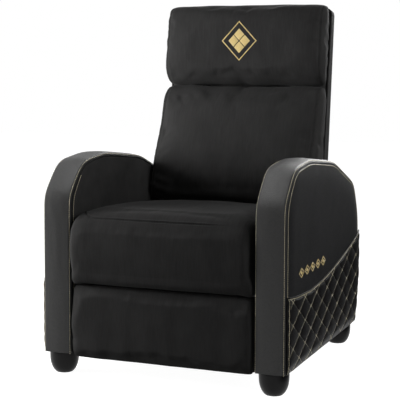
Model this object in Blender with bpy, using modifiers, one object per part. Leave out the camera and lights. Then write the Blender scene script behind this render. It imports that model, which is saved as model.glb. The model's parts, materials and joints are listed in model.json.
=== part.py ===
# A push-back gaming recliner: two padded arms on a low base, a seat that swings forward on
# four links, a footrest on a folding bar mechanism and a back that tilts on two hinge pins.
# Units are metres, +Z is up, the front faces -Y. Places are measured in the chair frame:
# y runs rearward from the front face of the arms, z runs up from the floor.
import math

import bmesh
import bpy
from mathutils import Matrix, Vector

# Overall
SEAT_OPENING = 0.520
ARM_WIDTH = 0.080
ARM_DEPTH = 0.735
ARM_TOP = 0.587
FOOT_HEIGHT = 0.060
ORIGIN_BEHIND_FRONT = 0.380
FIT = 0.0003

# Arms
ARM_CORNER_SHARES = (
    # y share of the depth, z share of the height, corner radius share of the height
    (0.000, 0.000, 0.00),
    (0.000, 0.808, 0.09),
    (0.109, 0.973, 0.17),
    (0.300, 1.000, 0.60),
    (0.619, 0.955, 0.40),
    (0.930, 0.800, 0.16),
    (1.000, 0.600, 0.30),
    (1.000, 0.247, 0.50),
    (0.950, 0.000, 0.00),
)
BAND_THICKNESS = 0.008
BAND_LIP = 0.020
BAND_ROUNDING = 0.010
BAND_CROWN = 0.003
PANEL_THICKNESS = 0.0117
ARM_CUTOUT = 0.090
ARM_CUTOUT_CORNER = 0.015
ARM_CUTOUT_Y_SHARES = (0.17, 0.37, 0.57, 0.77)
ARM_CUTOUT_Z_SHARES = (0.23, 0.56)

# Side pockets
POCKET_DEPTH = 0.0100
POCKET_WALL = 0.0028
POCKET_HEM = 0.010
POCKET_TAPER = 0.007
POCKET_EDGE = 0.012
POCKET_TOP_SHARES = (
    # y share of the arm's depth, z share of the arm's height
    (0.12, 0.347),
    (0.28, 0.337),
    (0.42, 0.345),
    (0.55, 0.366),
    (0.68, 0.400),
    (0.80, 0.436),
    (0.90, 0.470),
)
POCKET_FRONT_SHARE = 0.366
POCKET_REAR_SHARE = 0.512

# Feet
FOOT_TOP_RADIUS = 0.0395
FOOT_BOTTOM_RADIUS = 0.0275
FOOT_FRONT_Y = 0.042
FOOT_BEFORE_REAR = 0.085
FOOT_PROFILE_SHARES = (
    # share from bottom radius to top radius, height share
    (1.00, 1.00),
    (0.97, 0.55),
    (0.84, 0.28),
    (0.48, 0.09),
    (0.00, 0.00),
)

# Base between the arms
BASE_RAIL_FRONT = 0.120
BASE_RAIL_BEFORE_REAR = 0.135
BASE_RAIL_BOTTOM = 0.078
BASE_RAIL_HEIGHT = 0.050
CROSS_TUBE_BEFORE_REAR = 0.350
CROSS_TUBE_Z = 0.094
CROSS_TUBE_RADIUS = 0.010
REAR_PANEL_BEFORE_REAR = 0.031
REAR_PANEL_THICKNESS = 0.012
REAR_PANEL_BOTTOM = 0.066
REAR_PANEL_HEIGHT = 0.234
REAR_PANEL_ROUNDING = 0.003

# Links, pins and their layers: layer 0 is the base rail, layer 5 the innermost link
LINK_THICKNESS = 0.003
LINK_GAP = 0.0025
LINK_RADIUS = 0.0105
BASE_LAYER, SWING_LAYER, CONTROL_LAYER, FRONT_LAYER, RAIL_LAYER, REAR_LAYER = range(6)
PIN_RADIUS = 0.004
PIN_SHOULDER_RADIUS = 0.0072
PIN_HEAD_RADIUS = 0.0068
PIN_HEAD = 0.0008
PIN_SIDES = 10
HOLE_RADIUS = 0.0045
OPEN_HOLE_RADIUS = 0.0054
HOLE_SIDES = 12

# Swing links that carry the seat
SWING_LENGTH = 0.120
SWING_TILT = math.radians(25)
SWING_FRONT_Y = 0.218
SWING_BEFORE_BACK_PIVOT = 0.135
SWING_BASE_Z = 0.105
SWING_TUBE_RADIUS = 0.008

# Footrest mechanism: angles are from the forward direction, upward positive
REAR_PIVOT_Y = 0.209
REAR_PIVOT_Z = 0.2345
RAIL_PIVOT_SPACING = 0.030
MAIN_LINK_ANGLE = math.radians(11.5)
FOLDING_LINK_LENGTH = 0.166
BAR_FOLD_ANGLE = math.radians(-140)
FRONT_LINK_TAIL_LENGTH = 0.018
FRONT_LINK_TAIL_ANGLE = math.radians(124)
BRACKET_SPACING = 0.0312
BRACKET_ANGLE = math.radians(142)
DRIVE_TUBE_RADIUS = 0.008

# Seat rails and seat frame
RAIL_FRONT = 0.160
RAIL_BEHIND_PIVOT = 0.015
RAIL_BOTTOM = 0.203
RAIL_TOP = 0.2625
RAIL_FLANGE = 0.036
RAIL_CORNER = 0.012
RAIL_EAR_SLOPE = 0.036
RAIL_FLANGE_END = 0.054
SEAT_FRAME_SIDE_CLEARANCE = 0.0145
SEAT_FRAME_CLEARANCE = 0.004
SEAT_FRAME_BEHIND_LIP = 0.003
SEAT_FRAME_HEIGHT = 0.030
SEAT_FRAME_MEMBER = 0.045
SPRING_WIRE_RADIUS = 0.0019
SPRING_SWEEP = 0.020
SPRING_WAVES = 8
SPRING_COUNT = 4
SPRING_SPACING = 0.100
SPRING_SEAT = 0.016

# Seat cushion
SEAT_CUSHION_SIDE_CLEARANCE = 0.007
SEAT_CUSHION_BEFORE_PIVOT = 0.087
SEAT_CUSHION_THICKNESS = 0.141
SEAT_LIP_DEPTH = 0.053
SEAT_LIP_DROP = 0.047
SEAT_CROWN = 0.012
SEAT_ROUNDING = 0.011
SEAT_BODY_SHARES = (
    # y share of the depth, z share of the thickness
    (0.16, 0.00),
    (0.55, 0.00),
    (0.97, 0.00),
    (0.998, 0.10),
    (0.995, 0.72),
    (0.96, 0.87),
    (0.74, 0.915),
    (0.50, 0.96),
    (0.25, 0.99),
    (0.08, 0.99),
    (0.030, 0.94),
    (0.000, 0.80),
    (-0.012, 0.40),
)
SEAT_LIP_SHARES = (
    # y share of the lip's depth, z share of its drop, share of the rounding at the ends
    (-0.08, 0.35, 1),
    (0.02, 0.92, 1),
    (0.18, 1.00, 1),
    (0.86, 1.00, 0),
    (1.00, 0.45, 0),
    (1.00, 0.08, 0),
    (1.10, 0.00, 0),
)

# Back, in its own frame: v runs rearward and w upward from the hinge pin, leaning rearward
BACK_PIVOT_BEFORE_REAR = 0.150
BACK_PIVOT_Z = 0.345
BACK_LEAN = math.radians(9)
BACK_PIVOT_RADIUS = 0.018
BACK_PLANE = 0.0255
BACK_SIDE_CLEARANCE = 0.005
LUMBAR_BOTTOM = 0.068
LUMBAR_TOP = 0.429
LUMBAR_FRONT = -0.103
LUMBAR_CROWN = 0.018
HEADREST_BOTTOM = 0.431
HEADREST_TOP = 0.678
HEADREST_FRONT = -0.054
HEADREST_CROWN = 0.022
BACK_ROUNDING = 0.016
LUMBAR_SHARES = (
    # share from the back plane to the front, share of the height
    (0.00, 0.00),
    (0.00, 0.36),
    (0.00, 0.70),
    (0.00, 0.995),
    (0.06, 1.00),
    (0.33, 0.985),
    (0.52, 0.92),
    (0.65, 0.73),
    (0.76, 0.54),
    (0.92, 0.38),
    (0.99, 0.20),
    (1.00, 0.06),
    (0.86, 0.00),
    (0.35, 0.00),
)
HEADREST_SHARES = (
    (0.00, 0.005),
    (0.00, 0.36),
    (0.00, 0.68),
    (0.00, 0.97),
    (0.20, 1.00),
    (0.58, 0.995),
    (0.90, 0.90),
    (1.00, 0.72),
    (0.96, 0.44),
    (0.88, 0.20),
    (0.68, 0.05),
    (0.10, 0.00),
)
BACK_FRAME_BOTTOM = 0.060
BACK_FRAME_CORNER = 0.020
BACK_FRAME_DEPTH = 0.025
BACK_FRAME_POST = 0.042
BACK_FRAME_RAIL = 0.050
BACK_FRAME_MIDDLE = 0.425
WEBBING_THICKNESS = 0.0015
WEBBING_HEIGHT = 0.060
WEBBING_HEIGHT_SHARES = (0.1975, 0.3949, 0.7734)
COVER_THICKNESS = 0.004
COVER_BOTTOM = 0.000
COVER_TOP = 0.672
COVER_DEPTH_BOTTOM = 0.070
COVER_DEPTH_TOP = 0.048
COVER_ROUNDING = 0.018
BACK_BRACKET_TOP = 0.220
BACK_BRACKET_ROOT = 0.066

# Footrest panel
FOOTREST_SIDE_CLEARANCE = 0.005
FOOTREST_BOTTOM = 0.047
FOOTREST_TOP = 0.2500
FOOTREST_PAD_DEPTH = 0.040
FOOTREST_PAD_REAR = 0.035
FOOTREST_PAD_ROUNDING = 0.006
FOOTREST_BOARD_DEPTH = 0.012
FOOTREST_BOARD_INSET = 0.006
FOOTREST_BRACKET_FOOT = 0.040
PANEL_PIVOT_STANDOFF = 0.01586
FOOTREST_SHARES = (
    # share from the board to the front, share of the height
    (0.00, 0.02),
    (0.00, 0.50),
    (0.00, 0.98),
    (0.32, 1.00),
    (0.78, 0.985),
    (0.96, 0.88),
    (1.00, 0.50),
    (0.96, 0.12),
    (0.78, 0.015),
    (0.32, 0.00),
)

# Stations of a cushion across its width: share of the half width, share of the rounding
STATION_SHARES = (
    (-1.000, 2.60),
    (-1.000, 0.90),
    (-0.986, 0.20),
    (-0.930, 0.00),
    (-0.600, 0.00),
    (0.000, 0.00),
    (0.600, 0.00),
    (0.930, 0.00),
    (0.986, 0.20),
    (1.000, 0.90),
    (1.000, 2.60),
)

# Counts
CORNER_STEPS = 4
DISC_SIDES = 12
FOOT_STEPS = 18
TUBE_RESOLUTION = 3
WAVE_POINTS = 4

WELD = 0.00001
CUT_OVERRUN = 0.002
SIDES = (("left", -1), ("right", 1))

half_opening = SEAT_OPENING / 2
arm_outer = half_opening + ARM_WIDTH
seat_frame_half = half_opening - SEAT_FRAME_SIDE_CLEARANCE
seat_cushion_half = half_opening - SEAT_CUSHION_SIDE_CLEARANCE
back_pivot_y = ARM_DEPTH - BACK_PIVOT_BEFORE_REAR
seat_cushion_depth = back_pivot_y - SEAT_CUSHION_BEFORE_PIVOT
back_half = half_opening - BACK_SIDE_CLEARANCE
footrest_half = half_opening - FOOTREST_SIDE_CLEARANCE
arm_height = ARM_TOP - FOOT_HEIGHT
spring_level = RAIL_TOP + LINK_THICKNESS + FIT + SEAT_FRAME_HEIGHT + FIT
seat_frame_rear = back_pivot_y - RAIL_EAR_SLOPE - SEAT_FRAME_CLEARANCE
back_frame_top = COVER_TOP - COVER_THICKNESS - FIT
cushion_underside = spring_level + 2 * SPRING_WIRE_RADIUS + FIT
board_front = FOOTREST_PAD_REAR + FIT
board_rear = board_front + FOOTREST_BOARD_DEPTH
axes = {}
axis_places = {}


# Scene, collection and materials
def clear_scene():
    for old in list(bpy.data.objects):
        bpy.data.objects.remove(old, do_unlink=True)


def make_collection(name):
    collection = bpy.data.collections.new(name)
    bpy.context.scene.collection.children.link(collection)
    return collection


def make_material(name, colour, roughness, metallic):
    material = bpy.data.materials.new(name)
    material.use_nodes = True
    shader = material.node_tree.nodes["Principled BSDF"]
    shader.inputs["Base Color"].default_value = (*colour, 1.0)
    shader.inputs["Roughness"].default_value = roughness
    shader.inputs["Metallic"].default_value = metallic
    return material


clear_scene()
part_collection = make_collection("gaming_recliner")
velvet = make_material("charcoal_velvet", (0.018, 0.018, 0.019), 0.95, 0.0)
band_leather = make_material("band_leather", (0.050, 0.050, 0.052), 0.50, 0.0)
panel_leather = make_material("panel_leather", (0.030, 0.030, 0.032), 0.42, 0.0)
pocket_leather = make_material("quilted_leather", (0.024, 0.024, 0.026), 0.45, 0.0)
foot_plastic = make_material("foot_plastic", (0.012, 0.012, 0.012), 0.35, 0.0)
black_steel = make_material("black_steel", (0.020, 0.020, 0.022), 0.40, 0.8)
zinc_steel = make_material("zinc_steel", (0.45, 0.46, 0.48), 0.35, 1.0)
plywood = make_material("plywood", (0.42, 0.27, 0.14), 0.70, 0.0)
webbing = make_material("elastic_webbing", (0.10, 0.09, 0.08), 0.90, 0.0)


# Joint axes: an empty on each axis carries the pieces that turn about it
def add_axis(name, parent, y, z):
    empty = bpy.data.objects.new(name, None)
    part_collection.objects.link(empty)
    place = Vector((0, y, z))
    if parent:
        empty.parent = axes[parent]
        empty.location = place - axis_places[parent]
    else:
        empty.location = place - Vector((0, ORIGIN_BEHIND_FRONT, 0))
    axes[name] = empty
    axis_places[name] = place
    return empty


def add_piece(name, mesh, material, axis, in_axis_frame=False):
    solid = bmesh.new()
    solid.from_mesh(mesh)
    bmesh.ops.recalc_face_normals(solid, faces=solid.faces)
    solid.to_mesh(mesh)
    solid.free()
    mesh.name = name
    mesh.materials.clear()
    mesh.materials.append(material)
    mesh.shade_smooth()
    mesh.set_sharp_from_angle(angle=math.radians(35))
    piece = bpy.data.objects.new(name, mesh)
    part_collection.objects.link(piece)
    piece.parent = axes[axis]
    if not in_axis_frame:
        piece.location = -axis_places[axis]
    return piece


# Modelling helpers
def mesh_of_object(carrier):
    bpy.context.scene.collection.objects.link(carrier)
    graph = bpy.context.evaluated_depsgraph_get()
    mesh = bpy.data.meshes.new_from_object(carrier.evaluated_get(graph))
    bpy.data.objects.remove(carrier)
    return mesh


def welded(mesh, turn=None):
    solid = bmesh.new()
    solid.from_mesh(mesh)
    bmesh.ops.remove_doubles(solid, verts=solid.verts, dist=WELD)
    if turn:
        solid.transform(turn)
    bmesh.ops.recalc_face_normals(solid, faces=solid.faces)
    solid.to_mesh(mesh)
    solid.free()
    return mesh


def plate(loops, low, high, across="x"):
    # A flat plate with any holes: its outline lies across the given axis
    curve = bpy.data.curves.new("outline", "CURVE")
    curve.dimensions = "2D"
    curve.fill_mode = "BOTH"
    curve.extrude = (high - low) / 2
    for loop in loops:
        spline = curve.splines.new("POLY")
        spline.points.add(len(loop) - 1)
        for point, place in zip(spline.points, loop):
            point.co = (place[0], place[1], 0, 1)
        spline.use_cyclic_u = True
    mesh = mesh_of_object(bpy.data.objects.new("outline", curve))
    middle = (low + high) / 2
    if across == "x":
        turn = Matrix(((0, 0, 1, middle), (1, 0, 0, 0), (0, 1, 0, 0), (0, 0, 0, 1)))
    else:
        turn = Matrix(((1, 0, 0, 0), (0, 0, 1, middle), (0, 1, 0, 0), (0, 0, 0, 1)))
    return welded(mesh, turn)


def box(low, high):
    solid = bmesh.new()
    size = Vector(high) - Vector(low)
    middle = (Vector(high) + Vector(low)) / 2
    bmesh.ops.create_cube(solid, size=1)
    bmesh.ops.scale(solid, vec=size, verts=solid.verts)
    bmesh.ops.translate(solid, vec=middle, verts=solid.verts)
    mesh = bpy.data.meshes.new("box")
    solid.to_mesh(mesh)
    solid.free()
    return mesh


def turned(profile, steps, turn):
    # Revolve a profile of (radius, height) about the height axis, then place it
    solid = bmesh.new()
    points = [solid.verts.new((radius, 0, height)) for radius, height in profile]
    edges = [solid.edges.new(pair) for pair in zip(points, points[1:])]
    bmesh.ops.spin(
        solid,
        geom=points + edges,
        axis=(0, 0, 1),
        cent=(0, 0, 0),
        angle=math.tau,
        steps=steps,
        use_merge=True,
    )
    bmesh.ops.remove_doubles(solid, verts=solid.verts, dist=WELD)
    solid.transform(turn)
    bmesh.ops.recalc_face_normals(solid, faces=solid.faces)
    mesh = bpy.data.meshes.new("turned")
    solid.to_mesh(mesh)
    solid.free()
    return mesh


def tube(points, radius, resolution):
    curve = bpy.data.curves.new("tube", "CURVE")
    curve.dimensions = "3D"
    curve.bevel_depth = radius
    curve.bevel_resolution = resolution
    curve.use_fill_caps = True
    spline = curve.splines.new("POLY")
    spline.points.add(len(points) - 1)
    for point, place in zip(spline.points, points):
        point.co = (*place, 1)
    return welded(mesh_of_object(bpy.data.objects.new("tube", curve)))


def loft(sections):
    # Skin a row of closed sections that have as many points each, with flat ends
    solid = bmesh.new()
    rings = [[solid.verts.new(place) for place in section] for section in sections]
    for ring, following in zip(rings, rings[1:]):
        for i in range(len(ring)):
            j = (i + 1) % len(ring)
            solid.faces.new((ring[i], ring[j], following[j], following[i]))
    solid.faces.new(rings[0])
    solid.faces.new(reversed(rings[-1]))
    mesh = bpy.data.meshes.new("loft")
    solid.to_mesh(mesh)
    solid.free()
    return mesh


def combine(base_mesh, tool_mesh, operation):
    base = bpy.data.objects.new("base", base_mesh)
    tool = bpy.data.objects.new("tool", tool_mesh)
    bpy.context.scene.collection.objects.link(tool)
    modifier = base.modifiers.new("combine", "BOOLEAN")
    modifier.operation = operation
    modifier.object = tool
    mesh = mesh_of_object(base)
    bpy.data.objects.remove(tool)
    return mesh


def round_edges(piece, width, segments):
    bevel = piece.modifiers.new("rounding", "BEVEL")
    bevel.width = width
    bevel.segments = segments
    bevel.limit_method = "ANGLE"
    bevel.angle_limit = math.radians(40)


def subdivide(piece):
    subdivision = piece.modifiers.new("softness", "SUBSURF")
    subdivision.levels = 1
    subdivision.render_levels = 1


# Outlines in a plane
def rounded(corners, closed):
    outline = []
    count = len(corners)
    for i, (a, b, radius) in enumerate(corners):
        here = Vector((a, b))
        if radius == 0 or (not closed and i in (0, count - 1)):
            outline.append(here)
            continue
        before = Vector(corners[i - 1][:2]) - here
        after = Vector(corners[(i + 1) % count][:2]) - here
        half_angle = before.angle(after) / 2
        reach = min(radius / math.tan(half_angle), before.length / 2, after.length / 2)
        fillet = reach * math.tan(half_angle)
        towards = (before.normalized() + after.normalized()).normalized()
        centre = here + towards * fillet / math.sin(half_angle)
        start = here + before.normalized() * reach - centre
        end = here + after.normalized() * reach - centre
        sweep = start.angle_signed(end)
        for k in range(CORNER_STEPS + 1):
            spoke = start.copy()
            spoke.rotate(Matrix.Rotation(-sweep * k / CORNER_STEPS, 2))
            outline.append(centre + spoke)
    return outline


def disc(y, z, radius, sides=DISC_SIDES):
    turn = math.tau / sides
    return [
        Vector((y + radius * math.cos(turn * k), z + radius * math.sin(turn * k)))
        for k in range(sides)
    ]


def hull(points):
    # Convex outline round a set of points
    points = sorted({(round(p[0], 7), round(p[1], 7)) for p in points})

    def chain(places):
        run = []
        for place in places:
            while len(run) > 1 and (
                (run[-1][0] - run[-2][0]) * (place[1] - run[-2][1])
                - (run[-1][1] - run[-2][1]) * (place[0] - run[-2][0])
            ) <= 0:
                run.pop()
            run.append(place)
        return run[:-1]

    return chain(points) + chain(points[::-1])


def bar_outline(pivots, radius=LINK_RADIUS):
    return hull([place for y, z in pivots for place in disc(y, z, radius)])


def hole(pivot, radius=HOLE_RADIUS):
    return disc(*pivot, radius, HOLE_SIDES)


def arm_path():
    corners = [
        (y * ARM_DEPTH, FOOT_HEIGHT + z * arm_height, r * arm_height)
        for y, z, r in ARM_CORNER_SHARES
    ]
    return rounded(corners, closed=False)


def inward_directions(path):
    directions = []
    for i, here in enumerate(path):
        before = (here - path[max(i - 1, 0)]).normalized()
        after = (path[min(i + 1, len(path) - 1)] - here).normalized()
        run = (before + after).normalized()
        normal = Vector((run.y, -run.x))
        stretch = max(1, 2 / (before + after).length) if 0 < i < len(path) - 1 else 1
        if i in (0, len(path) - 1):
            normal = Vector((1 / normal.x, 0))
        directions.append(normal * stretch)
    return directions


def inset(path, distance):
    return [here + d * distance for here, d in zip(path, inward_directions(path))]


# Layers of the mechanism
def layer(number):
    outer = half_opening - FIT - number * (LINK_THICKNESS + LINK_GAP)
    return outer - LINK_THICKNESS, outer


def sided(side, low, high):
    return (low, high) if side > 0 else (-high, -low)


def flange_span(side, number):
    # A flange reaches inward from the middle of the web it is bent from
    low, high = layer(number)
    return sided(side, high - RAIL_FLANGE, (low + high) / 2)


def link_plate(side, number, loops):
    return plate(loops, *sided(side, *layer(number)))


def pin(side, pivot, own_layer, other_layer):
    # A shouldered pin from the middle of its own link through the other link's hole
    own_low, own_high = layer(own_layer)
    other_low, other_high = layer(other_layer)
    start = (own_low + own_high) / 2
    if other_layer > own_layer:
        near, far, way = other_high + FIT, other_low - FIT, -1
    else:
        near, far, way = other_low - FIT, other_high + FIT, 1
    shoulder = abs(near - start)
    shank = abs(far - start)
    profile = [
        (0, 0),
        (PIN_SHOULDER_RADIUS, 0),
        (PIN_SHOULDER_RADIUS, shoulder),
        (PIN_RADIUS, shoulder),
        (PIN_RADIUS, shank),
        (PIN_HEAD_RADIUS, shank),
        (PIN_HEAD_RADIUS, shank + PIN_HEAD),
        (0, shank + PIN_HEAD),
    ]
    turn = Matrix.Translation((side * start, *pivot)) @ Matrix.Rotation(
        side * way * math.pi / 2, 4, "Y"
    )
    return turned(profile, PIN_SIDES, turn)


def link_with_pins(side, number, loops, pins):
    mesh = link_plate(side, number, loops)
    for pivot, other_layer in pins:
        mesh = combine(mesh, pin(side, pivot, number, other_layer), "UNION")
    return mesh


def polar(pivot, length, angle):
    return (pivot[0] - length * math.cos(angle), pivot[1] + length * math.sin(angle))


def cross_bar(y, z, reach, radius):
    return tube([(-reach, y, z), (reach, y, z)], radius, TUBE_RESOLUTION)


# Pivots of the mechanism at rest
swing_base_front = (SWING_FRONT_Y, SWING_BASE_Z)
swing_rear_y = back_pivot_y - SWING_BEFORE_BACK_PIVOT
swing_base_rear = (swing_rear_y, SWING_BASE_Z)
swing_reach = SWING_LENGTH * math.sin(SWING_TILT)
swing_rise = SWING_LENGTH * math.cos(SWING_TILT)
swing_top_front = (SWING_FRONT_Y + swing_reach, SWING_BASE_Z + swing_rise)
swing_top_rear = (swing_rear_y + swing_reach, SWING_BASE_Z + swing_rise)
rear_pivot = (REAR_PIVOT_Y, REAR_PIVOT_Z)
front_pivot = polar(rear_pivot, RAIL_PIVOT_SPACING, MAIN_LINK_ANGLE)
knee_rear = polar(rear_pivot, FOLDING_LINK_LENGTH, BAR_FOLD_ANGLE)
knee_front = polar(front_pivot, FOLDING_LINK_LENGTH, BAR_FOLD_ANGLE)
panel_pivot_y = board_rear + PANEL_PIVOT_STANDOFF
main_link_length = (knee_rear[0] - panel_pivot_y) / math.cos(MAIN_LINK_ANGLE)
panel_pivot = polar(knee_rear, main_link_length, MAIN_LINK_ANGLE)
tail_pivot = polar(knee_front, FRONT_LINK_TAIL_LENGTH, FRONT_LINK_TAIL_ANGLE)
steer_pivot = polar(panel_pivot, BRACKET_SPACING, BRACKET_ANGLE)
back_pivot = (back_pivot_y, BACK_PIVOT_Z)


def make_axes():
    add_axis("recliner", None, 0, 0)
    add_axis("front_swing_axis", "recliner", *swing_base_front)
    add_axis("rear_swing_axis", "recliner", *swing_base_rear)
    add_axis("seat_axis", "front_swing_axis", *swing_top_front)
    add_axis("footrest_rear_link_axis", "seat_axis", *rear_pivot)
    add_axis("footrest_front_link_axis", "seat_axis", *front_pivot)
    add_axis("footrest_main_link_axis", "footrest_rear_link_axis", *knee_rear)
    add_axis("footrest_control_link_axis", "footrest_front_link_axis", *tail_pivot)
    add_axis("footrest_axis", "footrest_main_link_axis", *panel_pivot)
    back_axis = add_axis("back_axis", "seat_axis", *back_pivot)
    back_axis.rotation_euler.x = -BACK_LEAN


# Arms and base
def make_arm(name, side):
    path = arm_path()
    directions = inward_directions(path)
    lip_start = ARM_WIDTH - PANEL_THICKNESS - FIT
    soft = BAND_ROUNDING / 3
    section = [
        (0, BAND_LIP),
        (0, BAND_ROUNDING),
        (soft, soft),
        (BAND_ROUNDING, 0),
        (ARM_WIDTH / 2, -BAND_CROWN),
        (ARM_WIDTH - BAND_ROUNDING, 0),
        (ARM_WIDTH - soft, soft),
        (ARM_WIDTH, BAND_ROUNDING),
        (ARM_WIDTH, BAND_LIP),
        (lip_start, BAND_LIP),
        (lip_start, BAND_THICKNESS),
        (ARM_WIDTH - lip_start, BAND_THICKNESS),
        (ARM_WIDTH - lip_start, BAND_LIP),
    ]
    sections = [
        [(side * (half_opening + x), *(here + d * depth)) for x, depth in section]
        for here, d in zip(path, directions)
    ]
    add_piece(f"arm_band_{name}", loft(sections), band_leather, "recliner")

    panel_outline = inset(path, BAND_LIP + FIT)
    inner = plate([panel_outline], *sided(side, half_opening, half_opening + PANEL_THICKNESS))
    add_piece(f"arm_inner_panel_{name}", inner, velvet, "recliner")
    outer = plate([panel_outline], *sided(side, arm_outer - PANEL_THICKNESS, arm_outer))
    add_piece(f"arm_outer_panel_{name}", outer, panel_leather, "recliner")

    half = ARM_CUTOUT / 2
    cutouts = [
        rounded_square(y * ARM_DEPTH, FOOT_HEIGHT + z * arm_height, half)
        for y in ARM_CUTOUT_Y_SHARES
        for z in ARM_CUTOUT_Z_SHARES
    ]
    reach = PANEL_THICKNESS + 2 * FIT
    frame_outline = inset(path, BAND_THICKNESS + FIT)
    frame = plate(
        [frame_outline, *cutouts],
        *sided(side, half_opening + reach, arm_outer - reach),
    )
    add_piece(f"arm_frame_{name}", frame, plywood, "recliner")


def rounded_square(y, z, half):
    cut = ARM_CUTOUT_CORNER
    return [
        Vector((y + a * half - a * cut * (1 - k), z + b * half - b * cut * k))
        for a, b, k in (
            (1, -1, 0),
            (1, -1, 1),
            (1, 1, 1),
            (1, 1, 0),
            (-1, 1, 0),
            (-1, 1, 1),
            (-1, -1, 1),
            (-1, -1, 0),
        )
    ]


def pocket_outline(drawn_in, raised):
    # The sewn edges move inward and the open top edge moves up
    bottom = FOOT_HEIGHT + FIT + drawn_in
    front = POCKET_EDGE + drawn_in
    front_top = FOOT_HEIGHT + POCKET_FRONT_SHARE * arm_height + raised
    rear_top = FOOT_HEIGHT + POCKET_REAR_SHARE * arm_height
    rear_path = inset(arm_path(), POCKET_HEM / 2)
    rear_edge = [p for p in rear_path if p.x > ARM_DEPTH / 2 and p.y < rear_top]
    outline = [Vector((front, bottom)), Vector((front, front_top))]
    for y, z in POCKET_TOP_SHARES:
        outline.append(Vector((y * ARM_DEPTH, FOOT_HEIGHT + z * arm_height + raised)))
    outline.append(Vector((ARM_DEPTH - POCKET_HEM / 2 - drawn_in, rear_top + raised)))
    for p in rear_edge[:-1]:
        outline.append(Vector((p.x - drawn_in, p.y)))
    outline.append(Vector((rear_edge[-1].x - drawn_in, bottom)))
    return outline


def make_pocket(name, side):
    face = arm_outer + FIT
    sewn = pocket_outline(0, 0)
    full = pocket_outline(POCKET_TAPER, 0)
    pouch = loft(
        [
            [(side * face, *p) for p in sewn],
            [(side * (face + POCKET_WALL / 2), *p) for p in sewn],
            [(side * (face + POCKET_DEPTH), *p) for p in full],
        ]
    )
    hollow = plate(
        [pocket_outline(POCKET_HEM, POCKET_HEM)],
        *sided(side, face - CUT_OVERRUN, face + POCKET_DEPTH - POCKET_WALL),
    )
    pocket = combine(welded(pouch), hollow, "DIFFERENCE")
    add_piece(f"side_pocket_{name}", pocket, pocket_leather, "recliner")


def make_foot(name, x, y):
    spread = FOOT_TOP_RADIUS - FOOT_BOTTOM_RADIUS
    top = FOOT_HEIGHT - FIT
    profile = [(0, top)]
    profile += [(FOOT_BOTTOM_RADIUS + spread * r, top * h) for r, h in FOOT_PROFILE_SHARES]
    profile += [(0, 0)]
    foot = turned(profile, FOOT_STEPS, Matrix.Translation((x, y, 0)))
    add_piece(f"foot_{name}", foot, foot_plastic, "recliner")


def make_base():
    arm_middle = half_opening + ARM_WIDTH / 2
    rail_top = BASE_RAIL_BOTTOM + BASE_RAIL_HEIGHT
    rail_rear = ARM_DEPTH - BASE_RAIL_BEFORE_REAR
    rail_outline = rounded(
        [
            (BASE_RAIL_FRONT, BASE_RAIL_BOTTOM, RAIL_CORNER),
            (rail_rear, BASE_RAIL_BOTTOM, RAIL_CORNER),
            (rail_rear, rail_top, RAIL_CORNER),
            (BASE_RAIL_FRONT, rail_top, RAIL_CORNER),
        ],
        closed=True,
    )
    for name, side in SIDES:
        make_arm(name, side)
        make_pocket(name, side)
        make_foot(f"front_{name}", side * arm_middle, FOOT_FRONT_Y)
        make_foot(f"rear_{name}", side * arm_middle, ARM_DEPTH - FOOT_BEFORE_REAR)
        pins = [(swing_base_front, SWING_LAYER), (swing_base_rear, SWING_LAYER)]
        rail = link_with_pins(side, BASE_LAYER, [rail_outline], pins)
        add_piece(f"base_rail_{name}", rail, black_steel, "recliner")
    tube_reach = layer(BASE_LAYER)[0] - FIT
    tube_y = ARM_DEPTH - CROSS_TUBE_BEFORE_REAR
    cross_tube = cross_bar(tube_y, CROSS_TUBE_Z, tube_reach, CROSS_TUBE_RADIUS)
    add_piece("base_cross_tube", cross_tube, black_steel, "recliner")
    panel_reach = half_opening - FIT
    panel_front = ARM_DEPTH - REAR_PANEL_BEFORE_REAR
    panel = box(
        (-panel_reach, panel_front, REAR_PANEL_BOTTOM),
        (
            panel_reach,
            panel_front + REAR_PANEL_THICKNESS,
            REAR_PANEL_BOTTOM + REAR_PANEL_HEIGHT,
        ),
    )
    rear_panel = add_piece("rear_panel", panel, panel_leather, "recliner")
    round_edges(rear_panel, REAR_PANEL_ROUNDING, 2)


# Swing links
def make_swing():
    for name, side in SIDES:
        for place, base, top in (
            ("front", swing_base_front, swing_top_front),
            ("rear", swing_base_rear, swing_top_rear),
        ):
            loops = [bar_outline([base, top]), hole(base)]
            link = link_with_pins(side, SWING_LAYER, loops, [(top, RAIL_LAYER)])
            add_piece(f"{place}_swing_link_{name}", link, zinc_steel, f"{place}_swing_axis")
    middle_y = (swing_base_rear[0] + swing_top_rear[0]) / 2
    middle_z = (swing_base_rear[1] + swing_top_rear[1]) / 2
    reach = layer(SWING_LAYER)[0] - FIT
    torque_tube = cross_bar(middle_y, middle_z, reach, SWING_TUBE_RADIUS)
    add_piece("swing_torque_tube", torque_tube, zinc_steel, "rear_swing_axis")


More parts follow.
